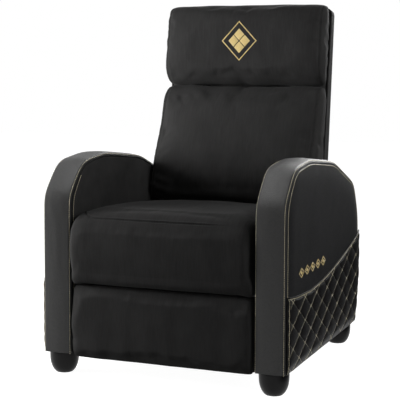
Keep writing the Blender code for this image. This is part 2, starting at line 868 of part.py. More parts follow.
# Seat
def make_seat():
    ear = BACK_PIVOT_RADIUS
    rail_corners = [
        (RAIL_FRONT, RAIL_BOTTOM, RAIL_CORNER),
        (back_pivot[0] + RAIL_BEHIND_PIVOT, RAIL_BOTTOM, RAIL_CORNER),
        (back_pivot[0] + ear, back_pivot[1] + ear, ear),
        (back_pivot[0] - ear, back_pivot[1] + ear, ear),
        (back_pivot[0] - RAIL_EAR_SLOPE, RAIL_TOP, RAIL_CORNER),
        (RAIL_FRONT, RAIL_TOP, RAIL_CORNER),
    ]
    open_hole = hole(swing_top_rear, OPEN_HOLE_RADIUS)
    holes = [hole(p) for p in (rear_pivot, front_pivot, swing_top_front, back_pivot)]
    rail_loops = [rounded(rail_corners, closed=True), *holes, open_hole]
    flange_rear = back_pivot[0] - RAIL_FLANGE_END
    for name, side in SIDES:
        rail = link_plate(side, RAIL_LAYER, rail_loops)
        low, high = flange_span(side, RAIL_LAYER)
        flange = box(
            (low, RAIL_FRONT + RAIL_CORNER, RAIL_TOP - LINK_THICKNESS / 2),
            (high, flange_rear, RAIL_TOP + LINK_THICKNESS),
        )
        rail = combine(rail, flange, "UNION")
        add_piece(f"seat_rail_{name}", rail, black_steel, "seat_axis")

    half = seat_frame_half
    front = SEAT_LIP_DEPTH + SEAT_FRAME_BEHIND_LIP
    member = SEAT_FRAME_MEMBER
    frame_low = RAIL_TOP + LINK_THICKNESS + FIT
    outer = [(-half, front), (half, front), (half, seat_frame_rear), (-half, seat_frame_rear)]
    inner = [
        (-half + member, front + member),
        (half - member, front + member),
        (half - member, seat_frame_rear - member),
        (-half + member, seat_frame_rear - member),
    ]
    frame = flat_plate([outer, inner], frame_low, frame_low + SEAT_FRAME_HEIGHT)
    add_piece("seat_frame", frame, plywood, "seat_axis")

    spring_z = spring_level + SPRING_WIRE_RADIUS
    start = front + SPRING_SEAT
    length = seat_frame_rear - SPRING_SEAT - start
    steps = SPRING_WAVES * WAVE_POINTS
    for number in range(SPRING_COUNT):
        centre = (number - (SPRING_COUNT - 1) / 2) * SPRING_SPACING
        points = []
        for k in range(steps + 1):
            sweep = SPRING_SWEEP * math.sin(math.tau * k / WAVE_POINTS + math.pi / 4)
            points.append((centre + sweep, start + length * k / steps, spring_z))
        spring = tube(points, SPRING_WIRE_RADIUS, 0)
        add_piece(f"seat_spring_{number + 1}", spring, zinc_steel, "seat_axis")

    section = []
    for y, z in SEAT_BODY_SHARES:
        level = cushion_underside + z * SEAT_CUSHION_THICKNESS
        section.append((y * seat_cushion_depth, level, z, 1))
    for y, z, drawn in SEAT_LIP_SHARES:
        section.append((y * SEAT_LIP_DEPTH, cushion_underside - z * SEAT_LIP_DROP, 0, drawn))
    cage = cushion_cage(section, (0, SEAT_CROWN), seat_cushion_half, SEAT_ROUNDING)
    subdivide(add_piece("seat_cushion", cage, velvet, "seat_axis"))


def flat_plate(loops, low, high):
    # A plate that lies flat, with its outline in x and y
    mesh = plate(loops, low, high, across="y")
    lay = Matrix(((1, 0, 0, 0), (0, 0, 1, 0), (0, 1, 0, 0), (0, 0, 0, 1)))
    mesh.transform(lay)
    return mesh


def cushion_cage(section, crown, half, rounding):
    # Section points are (a, b, share of the crown, share of the rounding along a)
    low_a, high_a = min(p[0] for p in section), max(p[0] for p in section)
    low_b, high_b = min(p[1] for p in section), max(p[1] for p in section)
    middle_a, middle_b = (low_a + high_a) / 2, (low_b + high_b) / 2
    sections = []
    for x_share, inset_share in STATION_SHARES:
        swell = 1 - x_share**2
        keep_a = 1 - 2 * rounding * inset_share / (high_a - low_a)
        keep_b = 1 - 2 * rounding * inset_share / (high_b - low_b)
        ring = []
        for a, b, share, drawn in section:
            a = a + crown[0] * share * swell
            b = b + crown[1] * share * swell
            a = a + (middle_a - a) * (1 - keep_a) * drawn
            b = middle_b + (b - middle_b) * keep_b
            ring.append((x_share * half, a, b))
        sections.append(ring)
    return loft(sections)


# Back, in the frame of its hinge axis
def make_back():
    for name, shares, front, bottom, top, crown in (
        ("lumbar_cushion", LUMBAR_SHARES, LUMBAR_FRONT, LUMBAR_BOTTOM, LUMBAR_TOP, LUMBAR_CROWN),
        (
            "headrest_cushion",
            HEADREST_SHARES,
            HEADREST_FRONT,
            HEADREST_BOTTOM,
            HEADREST_TOP,
            HEADREST_CROWN,
        ),
    ):
        section = [
            (BACK_PLANE + a * (front - BACK_PLANE), bottom + b * (top - bottom), a, 1)
            for a, b in shares
        ]
        cage = cushion_cage(section, (-crown, 0), back_half, BACK_ROUNDING)
        subdivide(add_piece(name, cage, velvet, "back_axis", in_axis_frame=True))

    strap_front = BACK_PLANE + FIT
    frame_front = strap_front + WEBBING_THICKNESS + FIT
    frame_half = layer(FRONT_LAYER)[0] - FIT
    inner_half = frame_half - BACK_FRAME_POST
    outer = rounded(
        [
            (-frame_half, BACK_FRAME_BOTTOM, 0),
            (frame_half, BACK_FRAME_BOTTOM, 0),
            (frame_half, back_frame_top, BACK_FRAME_CORNER),
            (-frame_half, back_frame_top, BACK_FRAME_CORNER),
        ],
        closed=True,
    )
    middle_low = BACK_FRAME_MIDDLE - BACK_FRAME_RAIL / 2
    middle_high = BACK_FRAME_MIDDLE + BACK_FRAME_RAIL / 2
    windows = []
    for low, high in (
        (BACK_FRAME_BOTTOM + BACK_FRAME_RAIL, middle_low),
        (middle_high, back_frame_top - BACK_FRAME_RAIL),
    ):
        windows.append(
            [(-inner_half, low), (inner_half, low), (inner_half, high), (-inner_half, high)]
        )
    frame = plate([outer, *windows], frame_front, frame_front + BACK_FRAME_DEPTH, across="y")
    add_piece("back_frame", frame, plywood, "back_axis", in_axis_frame=True)

    strap_half = (frame_half + inner_half) / 2
    frame_height = back_frame_top - BACK_FRAME_BOTTOM
    for number, share in enumerate(WEBBING_HEIGHT_SHARES, start=1):
        centre = BACK_FRAME_BOTTOM + share * frame_height
        strap = box(
            (-strap_half, strap_front, centre - WEBBING_HEIGHT / 2),
            (strap_half, strap_front + WEBBING_THICKNESS, centre + WEBBING_HEIGHT / 2),
        )
        add_piece(f"back_webbing_{number}", strap, webbing, "back_axis", in_axis_frame=True)
    make_rear_cover()
    for name, side in SIDES:
        bracket = back_bracket(side, frame_front)
        add_piece(f"back_bracket_{name}", bracket, black_steel, "back_axis", in_axis_frame=True)


def make_rear_cover():
    # A box without front or bottom whose walls get their thickness on the inside
    half = back_half
    front = BACK_PLANE + FIT
    mesh = box((-half, front, COVER_BOTTOM), (half, front + COVER_DEPTH_BOTTOM, COVER_TOP))
    solid = bmesh.new()
    solid.from_mesh(mesh)
    solid.normal_update()
    open_faces = [f for f in solid.faces if f.normal.y < -0.5 or f.normal.z < -0.5]
    bmesh.ops.delete(solid, geom=open_faces, context="FACES_ONLY")
    middle_y = front + COVER_DEPTH_BOTTOM / 2
    middle_z = (COVER_BOTTOM + COVER_TOP) / 2
    for vertex in solid.verts:
        if vertex.co.z > middle_z and vertex.co.y > middle_y:
            vertex.co.y = front + COVER_DEPTH_TOP
    solid.to_mesh(mesh)
    solid.free()
    cover = add_piece("back_rear_cover", mesh, velvet, "back_axis", in_axis_frame=True)
    round_edges(cover, COVER_ROUNDING, 3)
    wall = cover.modifiers.new("wall", "SOLIDIFY")
    wall.thickness = COVER_THICKNESS
    wall.offset = -1


def back_bracket(side, frame_front):
    low, high = frame_front, frame_front + BACK_FRAME_DEPTH
    corners = [
        (-BACK_PIVOT_RADIUS, -BACK_PIVOT_RADIUS, BACK_PIVOT_RADIUS),
        (BACK_PIVOT_RADIUS, -BACK_PIVOT_RADIUS, BACK_PIVOT_RADIUS),
        (high, BACK_BRACKET_ROOT, RAIL_CORNER),
        (high, BACK_BRACKET_TOP, RAIL_CORNER),
        (low, BACK_BRACKET_TOP, RAIL_CORNER),
        (low, BACK_BRACKET_ROOT, RAIL_CORNER),
        (-BACK_PIVOT_RADIUS, BACK_PIVOT_RADIUS, BACK_PIVOT_RADIUS),
    ]
    return link_with_pins(
        side, FRONT_LAYER, [rounded(corners, closed=True)], [((0, 0), RAIL_LAYER)]
    )


# Footrest mechanism and panel
def make_footrest():
    rear_loops = [bar_outline([rear_pivot, knee_rear])]
    front_loops = [bar_outline([front_pivot, knee_front, tail_pivot]), hole(tail_pivot)]
    main_loops = [
        bar_outline([knee_rear, panel_pivot]),
        hole(knee_rear),
        hole(knee_front, OPEN_HOLE_RADIUS),
        hole(panel_pivot),
    ]
    control_loops = [bar_outline([tail_pivot, steer_pivot])]
    foot_front = board_rear + FIT
    foot_rear = foot_front + LINK_THICKNESS
    foot_low = panel_pivot[1] - FOOTREST_BRACKET_FOOT
    foot_high = panel_pivot[1] + FOOTREST_BRACKET_FOOT
    ear = bar_outline([panel_pivot, steer_pivot])
    root = (foot_front + foot_rear) / 2
    root_low = foot_low + LINK_THICKNESS
    root_high = foot_high - LINK_THICKNESS
    ear_outline = hull([*ear, (root, root_low), (root, root_high)])
    for name, side in SIDES:
        rear = link_with_pins(
            side,
            REAR_LAYER,
            rear_loops,
            [(rear_pivot, RAIL_LAYER), (knee_rear, RAIL_LAYER)],
        )
        add_piece(f"footrest_rear_link_{name}", rear, zinc_steel, "footrest_rear_link_axis")
        front = link_with_pins(
            side,
            FRONT_LAYER,
            front_loops,
            [(front_pivot, RAIL_LAYER), (knee_front, RAIL_LAYER)],
        )
        add_piece(f"footrest_front_link_{name}", front, zinc_steel, "footrest_front_link_axis")
        main = link_plate(side, RAIL_LAYER, main_loops)
        add_piece(f"footrest_main_link_{name}", main, zinc_steel, "footrest_main_link_axis")
        control = link_with_pins(
            side,
            CONTROL_LAYER,
            control_loops,
            [(tail_pivot, FRONT_LAYER), (steer_pivot, FRONT_LAYER)],
        )
        add_piece(
            f"footrest_control_link_{name}", control, zinc_steel, "footrest_control_link_axis"
        )
        bracket = link_plate(
            side, FRONT_LAYER, [ear_outline, hole(steer_pivot, OPEN_HOLE_RADIUS)]
        )
        low, high = flange_span(side, FRONT_LAYER)
        foot = box((low, foot_front, foot_low), (high, foot_rear, foot_high))
        bracket = combine(bracket, foot, "UNION")
        panel_pin = pin(side, panel_pivot, FRONT_LAYER, RAIL_LAYER)
        bracket = combine(bracket, panel_pin, "UNION")
        add_piece(f"footrest_bracket_{name}", bracket, black_steel, "footrest_axis")

    reach = layer(REAR_LAYER)[0] - FIT
    drive_tube = cross_bar(*rear_pivot, reach, DRIVE_TUBE_RADIUS)
    add_piece("footrest_drive_tube", drive_tube, zinc_steel, "footrest_rear_link_axis")

    half = footrest_half
    board = box(
        (-half + FOOTREST_BOARD_INSET, board_front, FOOTREST_BOTTOM + FOOTREST_BOARD_INSET),
        (half - FOOTREST_BOARD_INSET, board_rear, FOOTREST_TOP - FOOTREST_BOARD_INSET),
    )
    add_piece("footrest_board", board, plywood, "footrest_axis")
    section = [
        (
            FOOTREST_PAD_REAR - a * FOOTREST_PAD_DEPTH,
            FOOTREST_BOTTOM + b * (FOOTREST_TOP - FOOTREST_BOTTOM),
            a,
            1,
        )
        for a, b in FOOTREST_SHARES
    ]
    cage = cushion_cage(section, (0, 0), footrest_half, FOOTREST_PAD_ROUNDING)
    subdivide(add_piece("footrest_pad", cage, velvet, "footrest_axis"))


make_axes()
make_base()
make_swing()
make_seat()
make_back()
make_footrest()
bpy.context.view_layer.update()
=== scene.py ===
import json
import math

import bmesh
import bpy
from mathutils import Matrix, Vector, noise
from mathutils.bvhtree import BVHTree
from mathutils.kdtree import KDTree


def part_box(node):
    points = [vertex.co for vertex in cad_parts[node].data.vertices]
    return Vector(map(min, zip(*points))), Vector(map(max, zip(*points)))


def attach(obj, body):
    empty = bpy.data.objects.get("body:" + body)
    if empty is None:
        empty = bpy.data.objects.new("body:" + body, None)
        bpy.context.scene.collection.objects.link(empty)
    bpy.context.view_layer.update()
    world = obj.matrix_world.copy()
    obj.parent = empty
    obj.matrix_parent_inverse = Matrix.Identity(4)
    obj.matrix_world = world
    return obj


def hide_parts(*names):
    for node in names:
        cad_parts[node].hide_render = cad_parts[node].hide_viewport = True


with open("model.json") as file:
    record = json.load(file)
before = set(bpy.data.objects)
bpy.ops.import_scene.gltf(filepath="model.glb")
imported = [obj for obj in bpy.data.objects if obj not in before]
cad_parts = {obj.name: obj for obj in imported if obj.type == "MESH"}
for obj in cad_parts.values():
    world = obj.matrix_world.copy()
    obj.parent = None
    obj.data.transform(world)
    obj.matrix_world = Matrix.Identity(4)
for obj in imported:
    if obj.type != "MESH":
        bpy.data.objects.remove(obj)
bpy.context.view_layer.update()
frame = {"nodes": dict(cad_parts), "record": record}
nodes = frame["nodes"]
scene = bpy.context.scene
sides = {"left": -1, "right": 1}
print("frame loaded")


# Small tools for numbers and meshes
def ease(low, high, value):
    share = min(max((value - low) / (high - low), 0), 1)
    return share * share * (3 - 2 * share)


def bell(distance, width):
    return math.exp(-((distance / width) ** 2))


def uneven(point, amount, size=1):
    return amount * noise.noise(Vector(point) * size)


def gridFaces(rows, columns, closed=False):
    faces = []
    for row in range(rows - 1):
        here, above = row * columns, (row + 1) * columns
        for column in range(columns if closed else columns - 1):
            beside = (column + 1) % columns
            faces.append((here + column, here + beside, above + beside, above + column))
    return faces


def tubeFaces(rows, columns):
    # Rings of points joined to a tube with both ends closed
    last = (rows - 1) * columns
    ends = [tuple(range(columns)), tuple(range(last, last + columns))]
    return gridFaces(rows, columns, closed=True) + ends


def addPiece(name, mesh, material):
    mesh.materials.clear()
    mesh.materials.append(material)
    mesh.shade_smooth()
    piece = bpy.data.objects.new(name, mesh)
    scene.collection.objects.link(piece)
    return piece


def makePiece(name, points, faces, material):
    mesh = bpy.data.meshes.new(name)
    mesh.from_pydata([tuple(p) for p in points], [], faces)
    turnFacesOutward(mesh)
    return addPiece(name, mesh, material)


def turnFacesOutward(mesh, weld=0):
    solid = bmesh.new()
    solid.from_mesh(mesh)
    if weld:
        bmesh.ops.remove_doubles(solid, verts=solid.verts, dist=weld)
    bmesh.ops.recalc_face_normals(solid, faces=solid.faces)
    solid.to_mesh(mesh)
    solid.free()


def nodeMesh(node):
    mesh = nodes[node].data.copy()
    turnFacesOutward(mesh, weld=0.00001)
    return mesh


def setAll(target, settings):
    for key, value in settings.items():
        setattr(target, key, value)


def addModifier(piece, kind, **settings):
    modifier = piece.modifiers.new(kind.lower(), kind)
    setAll(modifier, settings)
    return modifier


def divide(piece, levels, way):
    addModifier(piece, "SUBSURF", levels=levels, render_levels=levels, subdivision_type=way)
    settle(piece)


def addWall(piece, outward, thickness):
    # Turns a sheet's front outward and gives it a thickness behind
    if piece.data.polygons[0].normal.dot(outward) < 0:
        piece.data.flip_normals()
    addModifier(piece, "SOLIDIFY", thickness=thickness, offset=-1)
    settle(piece)


def settle(piece):
    # Turns the piece's modifiers into plain mesh
    graph = bpy.context.evaluated_depsgraph_get()
    mesh = bpy.data.meshes.new_from_object(piece.evaluated_get(graph))
    piece.modifiers.clear()
    piece.vertex_groups.clear()
    old = piece.data
    piece.data = mesh
    mesh.name = piece.name
    bpy.data.meshes.remove(old)


def moveVertices(piece, shift):
    # shift gives each vertex its new place from its old place and normal
    mesh = piece.data
    places = [shift(vertex.co.copy(), vertex.normal.copy()) for vertex in mesh.vertices]
    for vertex, place in zip(mesh.vertices, places):
        vertex.co = place
    mesh.update()


def finishPiece(piece, body, slot, *replaced):
    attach(piece, body)
    if replaced:
        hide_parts(*replaced)


# Node tools
def addNode(tree, kind, inputs=None, **settings):
    node = tree.nodes.new(kind)
    setAll(node, settings)
    for key, value in (inputs or {}).items():
        if isinstance(value, bpy.types.Node):
            value = value.outputs[0]  # a node stands for its first output
        if isinstance(value, bpy.types.NodeSocket):
            tree.links.new(value, node.inputs[key])
        else:
            node.inputs[key].default_value = value
    return node


def newGroup(name, kind, inputs, outputs):
    tree = bpy.data.node_groups.new(name, kind)
    for label, socketKind, value in inputs:
        socket = tree.interface.new_socket(label, in_out="INPUT", socket_type=socketKind)
        if value is not None:
            socket.default_value = value
    for label, socketKind in outputs:
        tree.interface.new_socket(label, in_out="OUTPUT", socket_type=socketKind)
    given = tree.nodes.new("NodeGroupInput").outputs
    wanted = tree.nodes.new("NodeGroupOutput").inputs
    return tree, given, wanted


def maths(tree, operation, first, second=0.0):
    return addNode(tree, "ShaderNodeMath", {0: first, 1: second}, operation=operation).outputs[0]


def blend(tree, first, firstShare, second, secondShare):
    one = maths(tree, "MULTIPLY", first, firstShare)
    other = maths(tree, "MULTIPLY", second, secondShare)
    return maths(tree, "ADD", one, other)


def spread(tree, value, low, high):
    inputs = {"Value": value, "To Min": low, "To Max": high}
    return addNode(tree, "ShaderNodeMapRange", inputs).outputs["Result"]


def tinted(tree, colour, value, dark, light):
    # The colour, made darker or lighter by the value from 0 to 1
    inputs = {"Vector": colour, "Scale": spread(tree, value, dark, light)}
    return addNode(tree, "ShaderNodeVectorMath", inputs, operation="SCALE").outputs["Vector"]


def onObject(tree, kind="Object"):
    return addNode(tree, "ShaderNodeTexCoord").outputs[kind]


def objectNoise(tree, scale, detail, stretch=(1, 1, 1), sizer=None):
    if sizer:
        scale = maths(tree, "MULTIPLY", sizer, scale)
    place = addNode(tree, "ShaderNodeMapping", {"Vector": onObject(tree), "Scale": stretch})
    inputs = {"Vector": place, "Scale": scale, "Detail": detail}
    return addNode(tree, "ShaderNodeTexNoise", inputs).outputs["Fac"]


# Surface effects shared by the materials: each gives a colour, a roughness and a height
def velvetNap(tree, colour, scale):
    nap = objectNoise(tree, 900, 3, sizer=scale)
    streaks = objectNoise(tree, 26, 4, (9, 1, 1), scale)
    brushed = objectNoise(tree, 11, 3, (1.6, 1, 1))
    pile = tinted(tree, colour, blend(tree, streaks, 0.5, brushed, 0.5), 0.45, 1.75)
    speckled = tinted(tree, pile, nap, 0.72, 1.28)
    return speckled, spread(tree, brushed, 0.72, 0.95), blend(tree, nap, 0.55, streaks, 0.45)


def leatherGrain(tree, colour, scale):
    def cells(size, **settings):
        inputs = {"Vector": onObject(tree), "Scale": maths(tree, "MULTIPLY", scale, size)}
        return addNode(tree, "ShaderNodeTexVoronoi", inputs, **settings).outputs["Distance"]

    pebbles = cells(460)
    crease = spread(tree, cells(190, feature="DISTANCE_TO_EDGE"), 0, 1)
    cloud = objectNoise(tree, 17, 4)
    fine = objectNoise(tree, 1600, 2)
    dome = maths(tree, "SUBTRACT", 1, pebbles)
    worn = tinted(tree, colour, cloud, 0.75, 1.25)
    pitted = tinted(tree, worn, dome, 0.55, 1.2)
    gloss = maths(tree, "ADD", blend(tree, cloud, 0.16, pebbles, 0.18), 0.34)
    return pitted, gloss, blend(tree, blend(tree, dome, 0.7, crease, 0.6), 1, fine, 0.12)


def workedSteel(tree, colour, scale):
    brushed = objectNoise(tree, 60, 4, (1, 1, 14), scale)
    clouds = objectNoise(tree, 38, 5)
    specks = objectNoise(tree, 700, 2)
    toned = tinted(tree, colour, blend(tree, brushed, 0.4, clouds, 0.6), 0.7, 1.3)
    return toned, spread(tree, clouds, 0.24, 0.5), blend(tree, brushed, 0.6, specks, 0.4)


def mouldedPlastic(tree, colour, scale):
    clouds = objectNoise(tree, 45, 4)
    specks = objectNoise(tree, 1100, 2, sizer=scale)
    scuffs = objectNoise(tree, 30, 6, (1, 1, 7))
    return tinted(tree, colour, scuffs, 0.7, 1.4), spread(tree, clouds, 0.22, 0.46), specks


def plywoodGrain(tree, colour, scale):
    def across(kind):
        return addNode(tree, "ShaderNodeSeparateXYZ", {"Vector": onObject(tree, kind)}).outputs["X"]

    warp = objectNoise(tree, 9, 3, (1, 1, 0.25))
    grain = objectNoise(tree, 55, 5, (1, 1, 0.07), scale)
    figure = maths(tree, "FRACT", maths(tree, "MULTIPLY", warp, 9))
    plies = maths(tree, "FRACT", maths(tree, "MULTIPLY", across("Object"), 330))
    onEdge = maths(tree, "LESS_THAN", maths(tree, "ABSOLUTE", across("Normal")), 0.5)
    face = blend(tree, grain, 0.7, figure, 0.3)
    edge = maths(tree, "MULTIPLY", maths(tree, "GREATER_THAN", plies, 0.5), onEdge)
    mixed = maths(tree, "SUBTRACT", face, maths(tree, "MULTIPLY", edge, 0.25))
    return tinted(tree, colour, mixed, 0.55, 1.35), spread(tree, grain, 0.55, 0.8), face


def wovenStrap(tree, colour, scale):
    def threads(way):
        inputs = {"Vector": onObject(tree), "Scale": maths(tree, "MULTIPLY", scale, 130)}
        return addNode(tree, "ShaderNodeTexWave", inputs, bands_direction=way).outputs["Fac"]

    weave = maths(tree, "ABSOLUTE", maths(tree, "SUBTRACT", threads("X"), threads("Z")))
    fuzz = objectNoise(tree, 1200, 2)
    toned = tinted(tree, colour, weave, 0.6, 1.3)
    return toned, spread(tree, fuzz, 0.75, 0.95), blend(tree, weave, 1, fuzz, 0.3)


def surfaceGroup(name, effect):
    floats = "NodeSocketFloat"
    inputs = [("Colour", "NodeSocketColor", (0.5, 0.5, 0.5, 1)), ("Scale", floats, 1)]
    outputs = [("Colour", "NodeSocketColor"), ("Roughness", floats), ("Height", floats)]
    tree, given, wanted = newGroup(name, "ShaderNodeTree", inputs, outputs)
    for socket, value in zip(wanted, effect(tree, given["Colour"], given["Scale"])):
        tree.links.new(value, socket)
    return tree


def newMaterial(name, values):
    material = bpy.data.materials.new(name)
    material.use_nodes = True
    tree = material.node_tree
    shader = tree.nodes["Principled BSDF"]
    for label, value in values.items():
        shader.inputs[label].default_value = value
    return material, tree, shader


def linkSurface(tree, shader, colour, height, relief):
    tree.links.new(colour, shader.inputs["Base Color"])
    inputs = {"Height": height, "Strength": relief[0], "Distance": relief[1]}
    bump = addNode(tree, "ShaderNodeBump", inputs)
    tree.links.new(bump.outputs["Normal"], shader.inputs["Normal"])


def makeFinish(name, look):
    material, tree, shader = newMaterial(name, look["shader"])
    inputs = {"Colour": (*look["colour"], 1), "Scale": look.get("scale", 1)}
    group = effects[look["effect"]]
    outputs = addNode(tree, "ShaderNodeGroup", inputs, node_tree=group).outputs
    tree.links.new(outputs["Roughness"], shader.inputs["Roughness"])
    linkSurface(tree, shader, outputs["Colour"], outputs["Height"], look["relief"])
    return material


effects = {
    "velvet": surfaceGroup("velvet nap", velvetNap),
    "leather": surfaceGroup("leather grain", leatherGrain),
    "steel": surfaceGroup("worked steel", workedSteel),
    "plastic": surfaceGroup("moulded plastic", mouldedPlastic),
    "plywood": surfaceGroup("plywood grain", plywoodGrain),
    "woven": surfaceGroup("woven strap", wovenStrap),
}
looks = {
    # relief: the bump's strength and its depth
    "charcoal velvet": {
        "effect": "velvet",
        "colour": (0.0178, 0.0176, 0.0174),
        "relief": (0.35, 0.0006),
        "shader": {"Sheen Weight": 0.02, "Sheen Roughness": 0.35, "Specular IOR Level": 0.03},
    },
    "band leather": {
        "effect": "leather",
        "colour": (0.0150, 0.0150, 0.0146),
        "relief": (0.8, 0.0007),
        "shader": {"Specular IOR Level": 0.30},
    },
    "panel leather": {
        "effect": "leather",
        "colour": (0.0090, 0.0090, 0.0094),
        "scale": 1.1,
        "relief": (0.3, 0.0004),
        "shader": {"Specular IOR Level": 0.2},
    },
    "quilted leather": {
        "effect": "leather",
        "colour": (0.0030, 0.0030, 0.0033),
        "scale": 1.2,
        "relief": (0.35, 0.0004),
        "shader": {"Specular IOR Level": 0.12},
    },
    "foot plastic": {
        "effect": "plastic",
        "colour": (0.004, 0.004, 0.004),
        "relief": (0.12, 0.0002),
        "shader": {"Specular IOR Level": 0.12},
    },
    "black steel": {
        "effect": "steel",
        "colour": (0.020, 0.020, 0.021),
        "relief": (0.25, 0.0002),
        "shader": {"Coat Weight": 0.35, "Coat Roughness": 0.3},
    },
    "zinc steel": {
        "effect": "steel",
        "colour": (0.12, 0.12, 0.125),
        "relief": (0.2, 0.0002),
        "shader": {"Metallic": 1.0},
    },
    "plywood": {
        "effect": "plywood",
        "colour": (0.56, 0.38, 0.21),
        "relief": (0.3, 0.0004),
        "shader": {"Specular IOR Level": 0.3},
    },
    "elastic webbing": {
        "effect": "woven",
        "colour": (0.035, 0.036, 0.038),
        "relief": (0.6, 0.0008),
        "shader": {"Specular IOR Level": 0.2},
    },
    "glide felt": {
        "effect": "woven",
        "colour": (0.10, 0.10, 0.10),
        "relief": (0.2, 0.0003),
        "shader": {"Specular IOR Level": 0.3},
    },
}
finish = {name: makeFinish(name, look) for name, look in looks.items()}
velvet = finish["charcoal velvet"]


# Gold thread: the stitches carry their own tone, and the embroidery its own thread lines
goldThread = {
    "colour": (0.50, 0.45, 0.31),
    "satinColour": (0.485, 0.365, 0.138),
    "tones": (0.6, 1.15),
    "threadsPerMetre": 2600,
    "relief": (0.4, 0.0003),
    "satinRelief": (0.5, 0.0004),
}


def makeGold(name, colour, surface, relief, values):
    # surface gives the tone's level and the height
    material, tree, shader = newMaterial(name, values)
    level, height = surface(tree)
    gold = addNode(tree, "ShaderNodeRGB").outputs[0]
    gold.default_value = (*colour, 1)
    toned = tinted(tree, gold, level, *goldThread["tones"])
    linkSurface(tree, shader, toned, height, relief)
    return material


def spunThread(tree):
    tone = addNode(tree, "ShaderNodeAttribute", attribute_name="tone").outputs["Fac"]
    fibre = objectNoise(tree, 2400, 2)
    return blend(tree, tone, 0.6, fibre, 0.4), fibre


def satinStitch(tree):
    lines = addNode(tree, "ShaderNodeUVMap", uv_map="threads")
    run = addNode(tree, "ShaderNodeSeparateXYZ", {"Vector": lines}).outputs["X"]
    wave = maths(tree, "SINE", maths(tree, "MULTIPLY", run, goldThread["threadsPerMetre"]))
    return blend(tree, wave, 0.14, objectNoise(tree, 380, 3), 1), wave


goldStitch = makeGold(
    "gold thread",
    goldThread["colour"],
    spunThread,
    goldThread["relief"],
    {"Roughness": 0.5, "Sheen Weight": 0.2},
)
goldSatin = makeGold(
    "gold satin stitch",
    goldThread["satinColour"],
    satinStitch,
    goldThread["satinRelief"],
    {"Roughness": 0.42, "Sheen Weight": 0.25},
)

# The frame's steel and wood keep their shape and get their finish here
for subpart in frame["record"]["subparts"]:
    finishName = subpart["material_slot"].replace("_", " ")
    if finishName in ("black steel", "zinc steel", "plywood"):
        for slot in nodes[subpart["node"]].material_slots:
            slot.material = finish[finishName]
print("materials made")


# The arms' side view, with the corners of the recliner's frame
arm = {
    "depth": 0.735,
    "height": 0.527,
    "crown": 0.003,
    "edge": 0.0095,
    "lip": 0.020,
    "recess": 0.0065,
    "recessShares": ((0.1, 0.04), (0.45, 0.16), (0.85, 0.34), (1, 0.55), (1, 1)),
    "thickness": 0.008,
    "liningInset": 0.0120,
    "spacing": 0.006,
    "arcSteps": 10,  # points of a corner's rounding
    "faceSteps": 7,
    "edgeSteps": 8,
    "unevenness": 0.0006,
    "smoothing": 16,
    "narrowing": (0.80, 0.97),
    "seamFront": 0.0165,
    "seamTop": 0.0092,
    "seamSmoothing": 10,
    "seamOverlap": 0.0035,
}
armCorners = (
    # share of the depth, share of the height, rounding as a share of the height
    (0.000, 0.000, 0.00),
    (0.000, 0.808, 0.09),
    (0.109, 0.973, 0.17),
    (0.300, 1.000, 0.60),
    (0.619, 0.955, 0.40),
    (0.930, 0.800, 0.16),
    (1.000, 0.600, 0.30),
    (1.000, 0.247, 0.50),
    (0.950, 0.000, 0.00),
)
bandLow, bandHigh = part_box("arm_band_right")
halfOpening = bandLow.x
armWidth = bandHigh.x - bandLow.x
armOuter = bandHigh.x
armFront = bandLow.y + arm["crown"]
armBottom = bandLow.z


def roundedPath(corners, steps):
    path = [Vector(corners[0][:2])]
    for before, corner, after in zip(corners, corners[1:], corners[2:]):
        here = Vector(corner[:2])
        back = Vector(before[:2]) - here
        forth = Vector(after[:2]) - here
        halfAngle = back.angle(forth) / 2
        reach = min(corner[2] / math.tan(halfAngle), back.length / 2, forth.length / 2)
        start = here + back.normalized() * reach
        end = here + forth.normalized() * reach
        for step in range(steps + 1):
            share = step / steps
            path.append(start.lerp(here, share).lerp(here.lerp(end, share), share))
    path.append(Vector(corners[-1][:2]))
    return path


def evenly(path, spacing):
    runs = [0]
    for a, b in zip(path, path[1:]):
        runs.append(runs[-1] + (b - a).length)
    count = max(2, round(runs[-1] / spacing))
    points, index = [], 0
    for step in range(count + 1):
        goal = runs[-1] * step / count
        while index < len(runs) - 2 and runs[index + 1] < goal:
            index += 1
        gap = runs[index + 1] - runs[index]
        share = (goal - runs[index]) / gap if gap else 0
        points.append(path[index].lerp(path[index + 1], share))
    return points


def inwardDirections(path):
    directions = []
    for index, here in enumerate(path):
        before = path[max(index - 1, 0)]
        after = path[min(index + 1, len(path) - 1)]
        run = (after - before).normalized()
        normal = Vector((run.y, -run.x))
        if index in (0, len(path) - 1):
            normal = Vector((1 / normal.x, 0))
        directions.append(normal)
    return directions


def armPath():
    corners = [
        (armFront + y * arm["depth"], armBottom + z * arm["height"], r * arm["height"])
        for y, z, r in armCorners
    ]
    return evenly(roundedPath(corners, arm["arcSteps"]), arm["spacing"])


def smoothed(points, passes):
    for _ in range(passes):
        inner = [(a + b * 2 + c) / 4 for a, b, c in zip(points, points[1:], points[2:])]
        points = [points[0], *inner, points[-1]]
    return points


path = smoothed(armPath(), arm["smoothing"])
inward = inwardDirections(path)


def seamDistance(place):
    # The seam lies deep behind the front edge and close to the edge over the top
    height = (place.y - armBottom) / arm["height"]
    isRear = place.x > armFront + arm["depth"] / 2
    share = 1.0 if isRear else ease(*arm["narrowing"], height)
    return arm["seamFront"] + (arm["seamTop"] - arm["seamFront"]) * share


seamGaps = [seamDistance(place) for place in path]
seamPath = [place + way * gap for place, way, gap in zip(path, inward, seamGaps)]
seamPath = smoothed(seamPath, arm["seamSmoothing"])


